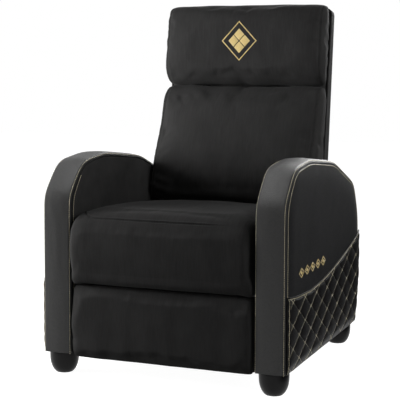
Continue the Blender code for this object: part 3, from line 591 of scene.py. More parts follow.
# Arm band: a padded cover that rolls over both edges into a sunk seam
def bandHalfSection():
    edge, recess = arm["edge"], arm["recess"]
    flat = armWidth / 2 - edge
    points = []
    for step in range(arm["faceSteps"] + 1):
        share = step / arm["faceSteps"]
        points.append((armWidth / 2 - share * flat, -arm["crown"] * (1 - share**2)))
    for step in range(1, arm["edgeSteps"] + 1):
        angle = math.pi / 2 * step / arm["edgeSteps"]
        points.append((edge * (1 - math.sin(angle)), edge * (1 - math.cos(angle))))
    for inShare, downShare in arm["recessShares"]:
        points.append((recess * inShare, edge + (arm["lip"] - edge) * downShare))
    return points


def bandSection():
    half = bandHalfSection()
    inner = [(distance, depth) for distance, depth in reversed(half)]
    outer = [(armWidth - distance, depth) for distance, depth in half[1:]]
    lining = arm["liningInset"]
    back = [
        (armWidth - lining, arm["lip"]),
        (armWidth - lining, arm["thickness"]),
        (lining, arm["thickness"]),
        (lining, arm["lip"]),
    ]
    return inner + outer + back


def makeBand(name, side):
    section = bandSection()
    points = []
    edge, reach = arm["edge"], arm["lip"] - arm["edge"]
    for here, direction, gap in zip(path, inward, seamGaps):
        stretch = (gap + arm["seamOverlap"] - edge) / reach
        for x, depth in section:
            wave = uneven((side + x * 5, *here), arm["unevenness"], 13)
            depth = edge + (depth - edge) * stretch if depth > edge else depth
            place = here + direction * (depth + wave * (depth < edge))
            points.append((side * (halfOpening + x), *place))
    faces = tubeFaces(len(path), len(section))
    piece = makePiece(f"band_{name}", points, faces, finish["band leather"])
    finishPiece(piece, "base", "band_leather", f"arm_band_{name}")


# Side panels: stretched over wadding, so they swell from the seam
panelLook = {
    "outer": {"rise": 0.0038, "roll": 0.050},
    "inner": {"rise": 0.0020, "roll": 0.030},
    "thickness": 0.003,
    "seamRoll": 0.0036,
    "unevenness": 0.0007,
    "bottomSpacing": 0.012,
    "ringShares": (
        0, 0.006, 0.012, 0.019, 0.028, 0.040, 0.056, 0.080, 0.115, 0.160,
        0.22, 0.30, 0.40, 0.52, 0.66, 0.80, 0.93,
    ),
    "spineY": (0.28, 0.62),
    "spineZ": 0.36,
}


def pointTree(points):
    tree = KDTree(len(points))
    for number, point in enumerate(points):
        tree.insert(point, number)
    tree.balance()
    return tree


seamTree = pointTree([(*point, 0) for point in seamPath])


def depthBehindSeam(point):
    # Distance from the seam in the side view
    _, index, _ = seamTree.find((*point, 0))
    nearest = 1.0
    for first in (index - 1, index):
        if 0 <= first < len(seamPath) - 1:
            a, b = seamPath[first], seamPath[first + 1]
            share = min(max((point - a).dot(b - a) / (b - a).length_squared, 0), 1)
            nearest = min(nearest, (point - a.lerp(b, share)).length)
    return nearest


def rolled(depth, reach):
    # 0 at the edge, 1 from the reach on, like a quarter of a wave
    return math.sin(min(depth / reach, 1) * math.pi / 2)


def panelRise(point, kind):
    look = panelLook[kind]
    depth = depthBehindSeam(point)
    seam = rolled(depth, panelLook["seamRoll"])
    swell = rolled(depth, look["roll"])
    seed = look["rise"] * 99  # so that the panels' waves differ
    wave = uneven((point.x, point.y, seed), panelLook["unevenness"], 9) * swell
    return -arm["recess"] * (1 - seam) + look["rise"] * swell + wave


def makePanel(name, side, kind):
    bottom = evenly([seamPath[-1], seamPath[0]], panelLook["bottomSpacing"])[1:-1]
    outline = seamPath + bottom
    low, high = (armFront + share * arm["depth"] for share in panelLook["spineY"])
    height = armBottom + panelLook["spineZ"] * arm["height"]
    isOuter = kind == "outer"
    face, outward = (armOuter, side) if isOuter else (halfOpening, -side)
    points = []
    for share in panelLook["ringShares"]:
        for p in outline:
            place = p.lerp(Vector((min(max(p.x, low), high), height)), share)
            points.append((side * face + outward * panelRise(place, kind), *place))
    faces = gridFaces(len(panelLook["ringShares"]), len(outline), closed=True)
    faces.append(tuple(range(len(points) - len(outline), len(points))))
    material = finish["panel leather"] if isOuter else velvet
    piece = makePiece(f"panel_{kind}_{name}", points, faces, material)
    addWall(piece, Vector((outward, 0, 0)), panelLook["thickness"])
    slot = "panel_leather" if isOuter else "charcoal_velvet"
    finishPiece(piece, "base", slot, f"arm_{kind}_panel_{name}")


# Quilted pockets
pocket = {
    "front": 0.012,
    "rearHem": 0.005,
    "depth": 0.0088,
    "wall": 0.0026,
    "gap": 0.0003,
    "sewnRoll": 0.026,
    "frontRoll": 0.007,
    "frontSeam": 0.0035,
    "hemWidth": 0.0045,
    "hemRise": 0.0009,
    "hemSeam": (0.002, 0.0016),  # width, depth
    "hemFade": 2.5,  # in hem widths, where the quilting below the hem is full
    "puff": 0.0032,
    "puffSink": 0.45,
    "puffRoundness": 0.42,
    "lengthHeight": 0.25,
    "rows": 100,
    "columns": 270,
    "diagonals": range(-12, 16),
    "rising": (0.52, 0.094, 0.060),  # slope, start, gap
    "falling": (-0.62, 0.2665, 0.0597),
}
pocketTop = (
    # share of the arm's depth, share of its height
    (0.000, 0.374),
    (0.120, 0.356),
    (0.280, 0.347),
    (0.420, 0.360),
    (0.550, 0.384),
    (0.680, 0.416),
    (0.800, 0.450),
    (0.900, 0.483),
    (1.000, 0.523),
)
rearPath = [p + d * pocket["rearHem"] for p, d in zip(path, inward)]
rearPath = [p for p in rearPath if p.x > armFront + arm["depth"] / 2]


def pocketTopHeight(y):
    share = min(max((y - armFront) / arm["depth"], 0), 1)
    for (low, start), (high, end) in zip(pocketTop, pocketTop[1:]):
        if share <= high:
            part = (share - low) / (high - low)
            return armBottom + arm["height"] * (start + (end - start) * part)


def pocketRear(z):
    for above, below in zip(rearPath, rearPath[1:]):
        if below.y <= z <= above.y:
            return below.x + (above.x - below.x) * (z - below.y) / (above.y - below.y)
    return rearPath[-1].x


def quiltWave(kind, y, z):
    slope, start, gap = pocket[kind]
    return math.sin(math.pi * ((z - slope * (y - armFront) - start) / gap))


def pocketFace(y, z):
    # How far the pocket's outer face stands from the arm's side
    hemWidth, puff = pocket["hemWidth"], pocket["puff"]
    toTop = pocketTopHeight(y) - z
    toEdge = min(pocketRear(z) - y, z - armBottom)
    fromFront = max(y - armFront - pocket["front"], 0)
    roll = rolled(max(toEdge, 0), pocket["sewnRoll"]) * rolled(fromFront, pocket["frontRoll"])
    stand = pocket["wall"] + (pocket["depth"] - pocket["wall"]) * roll
    stand -= puff * pocket["puffSink"] * roll
    waves = quiltWave("rising", y, z) * quiltWave("falling", y, z)
    dome = abs(waves) ** pocket["puffRoundness"]
    field = ease(hemWidth, hemWidth * pocket["hemFade"], toTop) * roll
    seamWidth, seamDepth = pocket["hemSeam"]
    seam = bell(toTop - hemWidth, seamWidth) * seamDepth
    hem = (1 - ease(hemWidth * 0.9, hemWidth, toTop)) * pocket["hemRise"]
    return stand + dome * field * puff + hem - seam


def makePocket(name, side):
    rows, columns = pocket["rows"], pocket["columns"]
    start = armFront + pocket["front"]
    bottom = armBottom + pocket["gap"]
    length = pocketRear(armBottom + pocket["lengthHeight"]) - start
    points = []
    for row in range(rows):
        up = row / (rows - 1)
        for column in range(columns):
            along = column / (columns - 1)
            z = bottom + up * (pocketTopHeight(start + along * length) - bottom)
            y = start + along * (pocketRear(z) - start)
            z = bottom + up * (pocketTopHeight(y) - bottom)
            points.append((side * (armOuter + pocket["gap"] + pocketFace(y, z)), y, z))
    piece = makePiece(f"pocket_{name}", points, gridFaces(rows, columns), finish["quilted leather"])
    addWall(piece, Vector((side, 0, 0)), pocket["wall"] * 0.9)
    finishPiece(piece, "base", "quilted_leather", f"side_pocket_{name}")


for name, side in sides.items():
    makeBand(name, side)
    makePanel(name, side, "outer")
    makePanel(name, side, "inner")
    makePocket(name, side)
print("arms covered")


# Stitches along seams, repeated on lines by one node tree
stitching = {
    "pitch": 0.0056,
    "seam": (0.0050, 0.0018),  # length, width
    "quilt": (0.0060, 0.0017),
    "sway": 0.10,
    "seed": 7,
    "step": 0.004,
    "lift": 0.0002,
    "quiltLift": 0.0005,
    "hemLift": 0.0012,
    "behindSeam": 0.0006,
    "fromEdge": 0.003,
    "belowTop": 0.001,
}


def stitchTree():
    inputs = [
        ("Lines", "NodeSocketGeometry", None),
        ("Pitch", "NodeSocketFloat", 0.005),
        ("Stitch Length", "NodeSocketFloat", 0.004),
        ("Stitch Width", "NodeSocketFloat", 0.001),
        ("Sway", "NodeSocketFloat", 0.1),
        ("Seed", "NodeSocketInt", 1),
        ("Thread", "NodeSocketMaterial", None),
    ]
    outputs = [("Stitches", "NodeSocketGeometry")]
    tree, given, wanted = newGroup("stitches", "GeometryNodeTree", inputs, outputs)

    def node(kind, inputs, **settings):
        return addNode(tree, kind, inputs, **settings)

    curve = node("GeometryNodeMeshToCurve", {"Mesh": given["Lines"]})
    inputs = {"Curve": curve, "Length": given["Pitch"]}
    spaced = node("GeometryNodeResampleCurve", inputs, mode="LENGTH")
    tangent = {"Vector": node("GeometryNodeInputTangent", {})}
    turn = node("FunctionNodeAlignRotationToVector", tangent, axis="Z")
    sway = maths(tree, "MULTIPLY", given["Sway"], -1)
    inputs = {"Min": sway, "Max": given["Sway"], "Seed": given["Seed"]}
    swing = node("FunctionNodeRandomValue", inputs, data_type="FLOAT").outputs[1]
    tilt = node("ShaderNodeCombineXYZ", {"X": swing})
    inputs = {"Rotation": turn, "Rotate By": tilt}
    rotated = node("FunctionNodeRotateRotation", inputs, rotation_space="LOCAL")
    ball = node("GeometryNodeMeshUVSphere", {"Segments": 6, "Rings": 3, "Radius": 0.5})
    width = given["Stitch Width"]
    size = node("ShaderNodeCombineXYZ", {"X": width, "Y": width, "Z": given["Stitch Length"]})
    inputs = {"Points": spaced, "Instance": ball, "Rotation": rotated, "Scale": size}
    placed = node("GeometryNodeInstanceOnPoints", inputs)
    shade = node("FunctionNodeRandomValue", {"Seed": given["Seed"]}, data_type="FLOAT").outputs[1]
    inputs = {"Geometry": placed, "Name": "tone", "Value": shade}
    toned = node("GeometryNodeStoreNamedAttribute", inputs, domain="INSTANCE")
    real = node("GeometryNodeRealizeInstances", {"Geometry": toned})
    smooth = node("GeometryNodeSetShadeSmooth", {"Geometry": real})
    dressed = node("GeometryNodeSetMaterial", {"Geometry": smooth, "Material": given["Thread"]})
    tree.links.new(dressed.outputs["Geometry"], wanted["Stitches"])
    return tree


stitches = stitchTree()


def setInputs(modifier, tree, values):
    for item in tree.interface.items_tree:
        if item.item_type == "SOCKET" and item.in_out == "INPUT" and item.name in values:
            modifier[item.identifier] = values[item.name]


def sew(name, lines, kind):
    points, edges = [], []
    for line in lines:
        edges += [(len(points) + k, len(points) + k + 1) for k in range(len(line) - 1)]
        points += [tuple(p) for p in line]
    mesh = bpy.data.meshes.new(name)
    mesh.from_pydata(points, edges, [])
    piece = bpy.data.objects.new(name, mesh)
    scene.collection.objects.link(piece)
    modifier = addModifier(piece, "NODES", node_group=stitches)
    length, width = stitching[kind]
    values = {
        "Pitch": stitching["pitch"],
        "Stitch Length": length,
        "Stitch Width": width,
        "Sway": stitching["sway"],
        "Seed": stitching["seed"],
        "Thread": goldStitch,
    }
    setInputs(modifier, stitches, values)
    settle(piece)
    finishPiece(piece, "base", "band_leather")


def seamLines(side):
    # Two lines beside each seam between band and panels
    lift = stitching["lift"]
    onEdge = arm["edge"] * (1 - math.cos(math.pi / 4)) - lift
    behind = panelLook["seamRoll"] + stitching["behindSeam"]
    lines = []
    for x in (onEdge, armWidth - onEdge):
        lines.append([(side * (halfOpening + x), *(p + d * onEdge)) for p, d in zip(path, inward)])
    for kind, face, outward in (("outer", armOuter, side), ("inner", halfOpening, -side)):
        line = []
        for p, d in zip(seamPath, inward):
            place = p + d * behind
            isTop = place.y > armBottom + arm["height"] * 0.9
            if kind == "inner" and (isTop or place.x > armFront + arm["depth"] / 2):
                break
            line.append((side * face + outward * (panelRise(place, kind) + lift), *place))
        lines.append(line)
    return lines


def pocketLines(side):
    # Along the quilting's diagonals, below the hem and behind the front edge
    step, fromEdge, hemWidth = stitching["step"], stitching["fromEdge"], pocket["hemWidth"]
    start, end = armFront + pocket["front"] + step, armFront + arm["depth"]
    runs = [start + number * step for number in range(int((end - start) / step) + 1)]
    bottom = armBottom + fromEdge

    def thread(places, lift):
        return [(side * (armOuter + pocketFace(y, z) + lift), y, z) for y, z in places]

    def beforeRear(places):
        return [(y, z) for y, z in places if y < pocketRear(z) - fromEdge]

    lines = []
    for kind in ("rising", "falling"):
        slope, first, gap = pocket[kind]
        for number in pocket["diagonals"]:
            places = [(y, first + number * gap + slope * (y - armFront)) for y in runs]
            places = [(y, z) for y, z in places if bottom < z < pocketTopHeight(y) - hemWidth]
            places = beforeRear(places)
            if len(places) > 2:
                lines.append(thread(places, stitching["quiltLift"]))
    hem = [(y, pocketTopHeight(y) - hemWidth) for y in runs]
    lines.append(thread(beforeRear(hem), stitching["hemLift"]))
    y = armFront + pocket["front"] + pocket["frontSeam"]
    heights = [bottom + number * step for number in range(int(arm["height"] / step))]
    front = [(y, z) for z in heights if z < pocketTopHeight(y) - stitching["belowTop"]]
    lines.append(thread(front, stitching["quiltLift"]))
    return lines


for name, side in sides.items():
    sew(f"seam_stitches_{name}", seamLines(side), "seam")
    sew(f"pocket_stitches_{name}", pocketLines(side), "quilt")
print("arms stitched")


# Cushions: blown up with cloth, then sewn and creased
cushion = {
    "voxel": 0.0062,
    "quickVoxel": 0.012,
    "shrink": 0.004,
    "giveBack": 0.9,
    "dent": 0.002,
    "dentFade": (0.3, 0.8),
    "slide": 0.35,
    "smoothing": {"factor": 0.5, "iterations": 3},
    "frames": 20,
    "cloth": {
        "vertex_group_mass": "held",
        "use_pressure": True,
        "uniform_pressure_force": 4.0,
        "quality": 4,
        "shrink_min": -0.03,
    },
}


def surfaceTree(piece):
    mesh = piece.data
    points = [vertex.co for vertex in mesh.vertices]
    return BVHTree.FromPolygons(points, [tuple(p.vertices) for p in mesh.polygons])


def startCushion(name, node):
    piece = addPiece(name, nodeMesh(node), velvet)
    moveVertices(piece, lambda place, normal: place - normal * cushion["shrink"])
    voxel = cushion["voxel"]
    addModifier(piece, "REMESH", mode="VOXEL", voxel_size=voxel)
    settle(piece)
    return piece


def blowUp(piece, fixed):
    piece.vertex_groups.new(name="held").add(fixed, 1.0, "REPLACE")
    cloth = addModifier(piece, "CLOTH")
    setAll(cloth.settings, cushion["cloth"])
    cloth.settings.effector_weights.gravity = 0
    cloth.collision_settings.use_collision = False
    cloth.point_cache.frame_start = 1
    cloth.point_cache.frame_end = cushion["frames"]
    for number in range(1, cushion["frames"] + 1):
        scene.frame_set(number)
    settle(piece)
    scene.frame_set(1)


def inflate(piece, held, room, cap, grows=lambda place: 1):
    # held: which points are fixed to the frame; room: the box that the cushion may fill;
    # grows: how much of the swelling a point takes
    before = [vertex.co.copy() for vertex in piece.data.vertices]
    normals = [vertex.normal.copy() for vertex in piece.data.vertices]
    places = before
    blowUp(piece, [index for index, place in enumerate(before) if held(place)])
    places = [vertex.co.copy() for vertex in piece.data.vertices]
    low, high = room
    for vertex, start, place, outward in zip(piece.data.vertices, before, places, normals):
        # The cover grows outward and hardly slides, so the edges keep their line
        move = place - start
        dent = cushion["dent"] * (1 - ease(*cushion["dentFade"], abs(outward.z)))
        rise = cap * math.tanh(max(move.dot(outward), -dent) / cap) * grows(start)
        slide = (move - outward * move.dot(outward)) * cushion["slide"]
        place = start + outward * (rise + cushion["shrink"] * cushion["giveBack"]) + slide
        vertex.co = [min(max(place[k], low[k]), high[k]) for k in range(3)]
    addModifier(piece, "SMOOTH", **cushion["smoothing"])
    divide(piece, 1, "CATMULL_CLARK")
    piece.data.shade_smooth()


def cushionRoom(node, proud):
    low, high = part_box(node)
    return low - Vector(proud), high + Vector(proud)


seatLook = {
    "room": (0.0055, 0.0, 0.002),
    "heldHeight": 0.070,
    "frontLip": 0.055,
    "swelling": 0.022,
    "growth": (0.15, 0.55),  # share at the rear, more toward the front
    "growthFront": 0.1,
    "sideLoss": 0.6,
    "frontBulge": 0.013,
    "frontRoundness": 0.7,
    "rightLoss": 0.35,
    "lipFullness": 0.6,
    "leftBulge": 0.007,
    "rightHollow": 0.0075,
    "lipDepth": 0.03,
    "lipDrop": 0.0022,
    "cornerDrop": 0.0050,
    "cornerFill": 0.0065,
    "hollow": 0.0016,
    "folds": 0.0007,
    "topFacing": (0.3, 0.9),
    "fades": {
        # distances from the cushion's faces at which an effect starts and is full
        "front": (0.05, 0.005),
        "left": (0.03, 0),
        "right": (0.03, 0),
        "belowTop": (0.02, 0.05),
        "aboveBottom": (0.02, 0.06),
        "lip": (0.03, 0),
        "cornerSide": (0.035, 0.010),
        "cornerBottom": (0.05, 0.015),
        "dropSide": (0.035, 0.006),
    },
    "seamHeight": 0.428,
    "cornerRise": 0.013,
    "cornerStart": -0.185,
    "seamEnds": (-0.246, 0.215),
    "seamSteps": 320,
    "seamFade": (0.10, 0.21),
    "seamReach": 0.009,
    "groove": (0.0022, 0.0024),  # width, depth
    "welt": (0.0040, 0.0020, 0.0016),  # distance from the seam, width, rise
}


def seatSeamLine(piece):
    # The seam follows the front's upper edge and turns rearward over the left corner
    tree = surfaceTree(piece)
    left, right = seatLook["seamEnds"]
    line = []
    for step in range(seatLook["seamSteps"]):
        x = left + (right - left) * step / (seatLook["seamSteps"] - 1)
        rise = seatLook["cornerRise"] * ease(seatLook["cornerStart"], left, x)
        hit = tree.ray_cast(Vector((x, -1, seatLook["seamHeight"] + rise)), Vector((0, 1, 0)))[0]
        if hit:
            line.append(hit)
    return line


def refine(piece, near):
    # Gives the faces near a seam two more divisions, so that it can be pressed in finely
    body = bmesh.new()
    body.from_mesh(piece.data)
    for _ in range(2):
        edges = [e for e in body.edges if all(near(v.co) for v in e.verts)]
        bmesh.ops.subdivide_edges(body, edges=edges, cuts=1, use_grid_fill=True)
    body.to_mesh(piece.data)
    body.free()


def fade(name, distance):
    return ease(*seatLook["fades"][name], distance)


def makeSeat():
    low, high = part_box("seat_cushion")
    piece = startCushion("seat_pad", "seat_cushion")
    room = cushionRoom("seat_cushion", seatLook["room"])
    room[0].z = low.z
    room[1].x = high.x
    heldTop, frontLip = low.z + seatLook["heldHeight"], low.y + seatLook["frontLip"]
    fullFrom = low.y + seatLook["growthFront"]

    def grows(place):
        # Most in the middle near the front, hardly at the rear
        rear, front = seatLook["growth"]
        middle = 1 - seatLook["sideLoss"] * abs(place.x / high.x) ** 2
        return (rear + front * ease(high.y, fullFrom, place.y)) * middle

    def held(place):
        return place.z < heldTop and place.y > frontLip

    inflate(piece, held, room, seatLook["swelling"], grows)

    def swell(place, normal):
        # The front bulges over the arms' front edge, most on the left
        above, under = place.z - low.z, high.z - place.z
        front = fade("front", place.y - low.y)
        height = min(max(above / (high.z - low.z), 0), 1)
        upper = math.sin(math.pi * height) ** seatLook["frontRoundness"]
        fullness = max(upper, seatLook["lipFullness"] * (height < 0.5))
        side = 1 - seatLook["rightLoss"] * ease(0, high.x, place.x)
        place.y -= seatLook["frontBulge"] * front * fullness * side
        place.x -= seatLook["leftBulge"] * fade("left", place.x - low.x) * front * upper
        # The right side is hollow between its bottom and its top
        rightSide = fade("right", high.x - place.x) * fade("belowTop", under)
        place.x -= seatLook["rightHollow"] * rightSide * fade("aboveBottom", above)
        # The lip hangs a little, and its corners are filled out to the sides
        toSide = high.x - abs(place.x)
        beside = fade("cornerSide", toSide) * fade("cornerBottom", above)
        fill = min(seatLook["cornerFill"], max(toSide, 0)) * beside
        place.x += math.copysign(fill, place.x)
        outside = fade("dropSide", high.x - abs(place.x))
        drop = seatLook["lipDrop"] + seatLook["cornerDrop"] * outside
        lip = fade("lip", above) * ease(frontLip, low.y + seatLook["lipDepth"], place.y)
        place.z -= drop * lip
        hollow = uneven(place, seatLook["hollow"], 8) * ease(*seatLook["topFacing"], normal.z)
        fold = uneven((place.x * 3, place.y, place.z * 1.2), seatLook["folds"], 9)
        return place + normal * (hollow + fold)

    moveVertices(piece, swell)
    seam = pointTree(seatSeamLine(piece))
    refine(piece, lambda place: seam.find(place)[2] < seatLook["seamReach"])
    grooveWidth, grooveDepth = seatLook["groove"]
    weltStart, weltWidth, weltRise = seatLook["welt"]

    def press(place, normal):
        spot, _, distance = seam.find(place)
        strength = 1 - ease(*seatLook["seamFade"], place.x)
        above = (place - spot).z + (place - spot).y * 0.5
        groove = bell(distance, grooveWidth) * grooveDepth
        welt = bell(distance - weltStart, weltWidth) * weltRise * (above > 0)
        return place + normal * (welt - groove) * strength

    moveVertices(piece, press)
    piece.data.shade_smooth()
    finishPiece(piece, "seat", "charcoal_velvet", "seat_cushion")


# The two back cushions meet at a crease with a tuft in its middle
backSeam = {
    "besideEdge": 0.013,
    "depth": 0.0030,
    "width": 0.0030,
    "gather": (0.022, 0.0016),  # reach, depth
    "facing": (0.05, 0.45),
    "tuft": 0.014,
    "meet": (0.0047, 0.03),  # rise, reach
    "meetMiddle": 0.3,
    "meetEnds": (0.10, 0.20),
    "folds": 0.0007,
    "cornerSide": (0.10, 0.02),
    "cornerBottom": (0.16, 0.03),
    "cornerWaves": (60, 210),
}
backCushions = {
    # folds: how many, seed, reach; dip: width, reach, depth; waves: stretch, height
    "lumbar": {
        "room": (0.004, 0.004, 0.003),
        "held": 0.012,
        "swelling": 0.024,
        "creaseSide": 1,
        "folds": (26, 1.3, 0.035),
        "dip": (0.011, 0.012, 0.0045),
        "tuftSize": 0.022,
        "waves": (2.2, 0.0026),
        "cornerFolds": 0.0016,
        "fill": 0.75,
    },
    "headrest": {
        "room": (0.005, 0.004, 0.004),
        "held": 0.010,
        "swelling": 0.022,
        "creaseSide": -1,
        "folds": (24, 7.7, 0.030),
        "dip": (0.011, 0.012, 0),
        "tuftSize": 0.020,
        "waves": (1.8, 0.0017),
        "cornerFolds": 0,
        "fill": 0.8,
    },
}
creaseHeight = (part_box("lumbar_cushion")[1].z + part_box("headrest_cushion")[0].z) / 2
backLean = math.radians(9)
backForward = Vector((0, -math.cos(backLean), math.sin(backLean)))
backUpward = Vector((0, math.sin(backLean), math.cos(backLean)))
backFrame = [vertex.co.copy() for vertex in nodes["back_frame"].data.vertices]
backFront = max(backForward.dot(place) for place in backFrame)


def meetAtCrease(place, toCrease):
    # Both back cushions swell toward the crease, most near their ends, so that it closes
    rise, reach = backSeam["meet"]
    middle = backSeam["meetMiddle"]
    ends = middle + (1 - middle) * ease(*backSeam["meetEnds"], abs(place.x))
    return rise * ends * math.exp(-toCrease / reach)


def sideSeams(place, normal, halfWidth):
    # Boxing seams near both edges, with small gathers running from them
    reach, depth = backSeam["gather"]
    gap = abs(abs(place.x) - (halfWidth - backSeam["besideEdge"]))
    front = ease(*backSeam["facing"], -normal.y)
    groove = bell(gap, backSeam["width"]) * backSeam["depth"]
    folds = uneven((place.x * 9, place.y * 5, place.z * 75), math.exp(-gap / reach) * depth)
    return (folds - groove) * front


def makeBackCushion(name):
    look, node = backCushions[name], f"{name}_cushion"
    low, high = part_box(node)
    piece = startCushion(f"{name}_pad", node)

    def held(place):
        return backForward.dot(place) - backFront < look["held"]

    inflate(piece, held, cushionRoom(node, look["room"]), look["swelling"])
    toward = look["creaseSide"]
    count, seed, foldReach = look["folds"]
    dipWidth, dipReach, dip = look["dip"]
    tuftSize = look["tuftSize"]
    stretch, waves = look["waves"]
    wavesAcross, wavesUp = backSeam["cornerWaves"]

    def shape(place, normal):
        shift = sideSeams(place, normal, high.x)
        toCrease = max((creaseHeight - place.z) * toward, 0)
        folds = uneven((place.x * count, seed, place.z * 3), backSeam["folds"])
        shift += folds * math.exp(-toCrease / foldReach)
        place.z += meetAtCrease(place, toCrease) * toward
        place.z -= bell(place.x, dipWidth) * math.exp(-toCrease / dipReach) * dip
        place.y += bell(place.x, tuftSize) * math.exp(-toCrease / tuftSize) * backSeam["tuft"]
        shift += uneven((place.x * stretch, place.y, place.z), waves, 7)
        corner = ease(*backSeam["cornerSide"], place.x - low.x)
        corner *= ease(*backSeam["cornerBottom"], place.z - low.z)
        ripple = math.sin(place.z * wavesUp + place.x * wavesAcross)
        shift += corner * look["cornerFolds"] * ripple
        return place + normal * shift

    moveVertices(piece, shape)
    finishPiece(piece, "back", "charcoal_velvet", node)
    return piece


def roundedRing(halfWidth, bottom, top, corner, steps):
    corners = [(0, bottom, 0), (halfWidth, bottom, corner), (halfWidth, top, corner)]
    corners += [(-halfWidth, top, corner), (-halfWidth, bottom, corner), (0, bottom, 0)]
    return roundedPath(corners, steps)[:-1]


backLining = {
    "rise": 0.0026,
    "thickness": 0.0012,
    "inset": 0.0075,
    "corner": 0.018,
    "cornerSteps": 6,
    "end": 0.004,
}


def makeBackLining():
    # Velvet sewn round the back cushions' rear edge, also behind the crease between them
    cover = [vertex.co for vertex in nodes["back_rear_cover"].data.vertices]
    half = max(place.x for place in cover) - backLining["inset"]
    bottom = min(backUpward.dot(place) for place in backFrame) + backLining["end"]
    top = max(backUpward.dot(place) for place in cover) - backLining["end"]
    start = backForward * (backFront + backLining["rise"])
    ring = roundedRing(half, bottom, top, backLining["corner"], backLining["cornerSteps"])
    points = [Vector((spot.x, 0, 0)) + backUpward * spot.y + start for spot in ring]
    piece = makePiece("back_lining", points, [tuple(range(len(points)))], velvet)
    addWall(piece, backForward, backLining["thickness"])
    finishPiece(piece, "back", "charcoal_velvet")


footrestPad = {
    "room": (0.004, 0.003, 0.0012),
    "sideInset": 0.0035,
    "held": 0.010,
    "swelling": 0.010,
    "gather": (0.025, 0.0012),  # reach, depth
    "waves": 0.0016,
    "leftBulge": 0.0025,
    "leftFade": 0.03,
    "facing": (0.1, 0.6),
}


def makeFootrestPad():
    low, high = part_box("footrest_pad")
    piece = startCushion("footrest_cover", "footrest_pad")
    room = cushionRoom("footrest_pad", footrestPad["room"])
    room[1].x = high.x - footrestPad["sideInset"]
    room[1].y = high.y
    rear = high.y - footrestPad["held"]
    inflate(piece, lambda p: p.y > rear, room, footrestPad["swelling"])
    reach, depth = footrestPad["gather"]

    def shape(place, normal):
        pull = math.exp((abs(place.x) - high.x) / reach) * depth
        folds = uneven((place.x * 8, 3.1, place.z * 60), pull)
        wide = uneven((place.x * 2.5, place.y, place.z), footrestPad["waves"], 8)
        left = ease(footrestPad["leftFade"], 0, place.x - low.x)
        place.x -= footrestPad["leftBulge"] * left
        return place + normal * (folds + wide) * ease(*footrestPad["facing"], -normal.y)

    moveVertices(piece, shape)
    finishPiece(piece, "footrest", "charcoal_velvet", "footrest_pad")


wrap = {
    "gap": 0.0006,
    "thickness": 0.0010,
    "hem": 0.0045,
    "frontHem": 0.012,
    "ahead": 0.0009,
    "bend": 0.0012,
    "corner": 0.004,
    "cornerSteps": 5,
}


def makeFootrestWrap():
    # The cover's edge is pulled round the board and tacked behind it
    low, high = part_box("footrest_board")
    reach = wrap["gap"] + wrap["thickness"]
    x, bottom, top = high.x + reach, low.z - reach, high.z + reach
    ring = roundedRing(x, bottom, top, wrap["corner"], wrap["cornerSteps"])
    behind, middle = high.y + wrap["gap"], (bottom + top) / 2
    front, bend = low.y - wrap["ahead"], wrap["bend"]
    # Each row's place and how far it is drawn in toward the middle
    rows = [(front, wrap["frontHem"]), (front, bend), (low.y + bend, 0), (high.y, 0)]
    rows += [(behind + wrap["thickness"], bend), (behind, wrap["hem"])]
    points = []
    for y, drawn in rows:
        wide, tall = 1 - drawn / x, 1 - drawn / (top - middle)
        points += [(spot.x * wide, y, middle + (spot.y - middle) * tall) for spot in ring]
    piece = makePiece("footrest_wrap", points, gridFaces(len(rows), len(ring), closed=True), velvet)
    finishPiece(piece, "footrest", "charcoal_velvet")


makeSeat()
makeBackCushion("lumbar")
headrestPiece = makeBackCushion("headrest")
makeBackLining()
makeFootrestPad()
makeFootrestWrap()
print("cushions blown up")


# Embroidered motifs: filled shapes of thread that follow the surface below
embroidery = {"roundness": 2.5, "endRoundness": 14, "startAhead": 0.2}


def embroider(name, quads, onto, along, rise):
    # quads hold four corners each in the plane seen along the direction; threads run across
    tree = surfaceTree(onto)
    mesh = bpy.data.meshes.new(name)
    points, faces, threads = [], [], []
    for (a, b, c, d), (lengthSteps, widthSteps) in quads:
        first = len(points)
        for row in range(widthSteps + 1):
            v = row / widthSteps
            for column in range(lengthSteps + 1):
                u = column / lengthSteps
                flat = a.lerp(b, u).lerp(d.lerp(c, u), v)
                swell = 1 - abs(2 * v - 1) ** embroidery["roundness"]
                swell *= 1 - abs(2 * u - 1) ** embroidery["endRoundness"]
                start = flat - along * embroidery["startAhead"]
                hit, normal = tree.ray_cast(start, along)[:2]
                points.append(hit + normal * (stitching["lift"] + rise * swell))
                threads.append((u * (b - a).length, v))
        for face in gridFaces(widthSteps + 1, lengthSteps + 1):
            faces.append(tuple(first + index for index in face))
    mesh.from_pydata([tuple(p) for p in points], [], faces)
    layer = mesh.uv_layers.new(name="threads")
    for loop in mesh.loops:
        layer.data[loop.index].uv = threads[loop.vertex_index]
    if mesh.polygons[0].normal.dot(along) > 0:
        mesh.flip_normals()
    return addPiece(name, mesh, goldSatin)


def lozengeCorners(centre, across, wide, high):
    spots = [(-1, 0), (0, -1), (1, 0), (0, 1)]
    return [centre + across * wide * x + Vector((0, 0, 1)) * high * z for x, z in spots]


def lozenge(centre, across, wide, high, steps):
    return (lozengeCorners(centre, across, wide, high), (steps, steps))


def lozengeFrame(centre, across, wide, high, width, steps):
    keepWide, keepHigh = 1 - width / wide, 1 - width / high
    outer = lozengeCorners(centre, across, wide, high)
    inner = lozengeCorners(centre, across, wide * keepWide, high * keepHigh)
    quads = []
    for k in (0, 3, 2, 1):
        n = (k - 1) % 4
        quads.append(([outer[k], outer[n], inner[n], inner[k]], (steps, 4)))
    return quads


emblem = {
    "height": 0.905,
    "halfWidth": 0.056,
    "halfHeight": 0.060,
    "line": 0.0046,
    "petal": 0.0165,
    "gap": 0.0030,
    "rise": 0.0012,
    "steps": (22, 12),  # along the frame's lines, across a petal
}


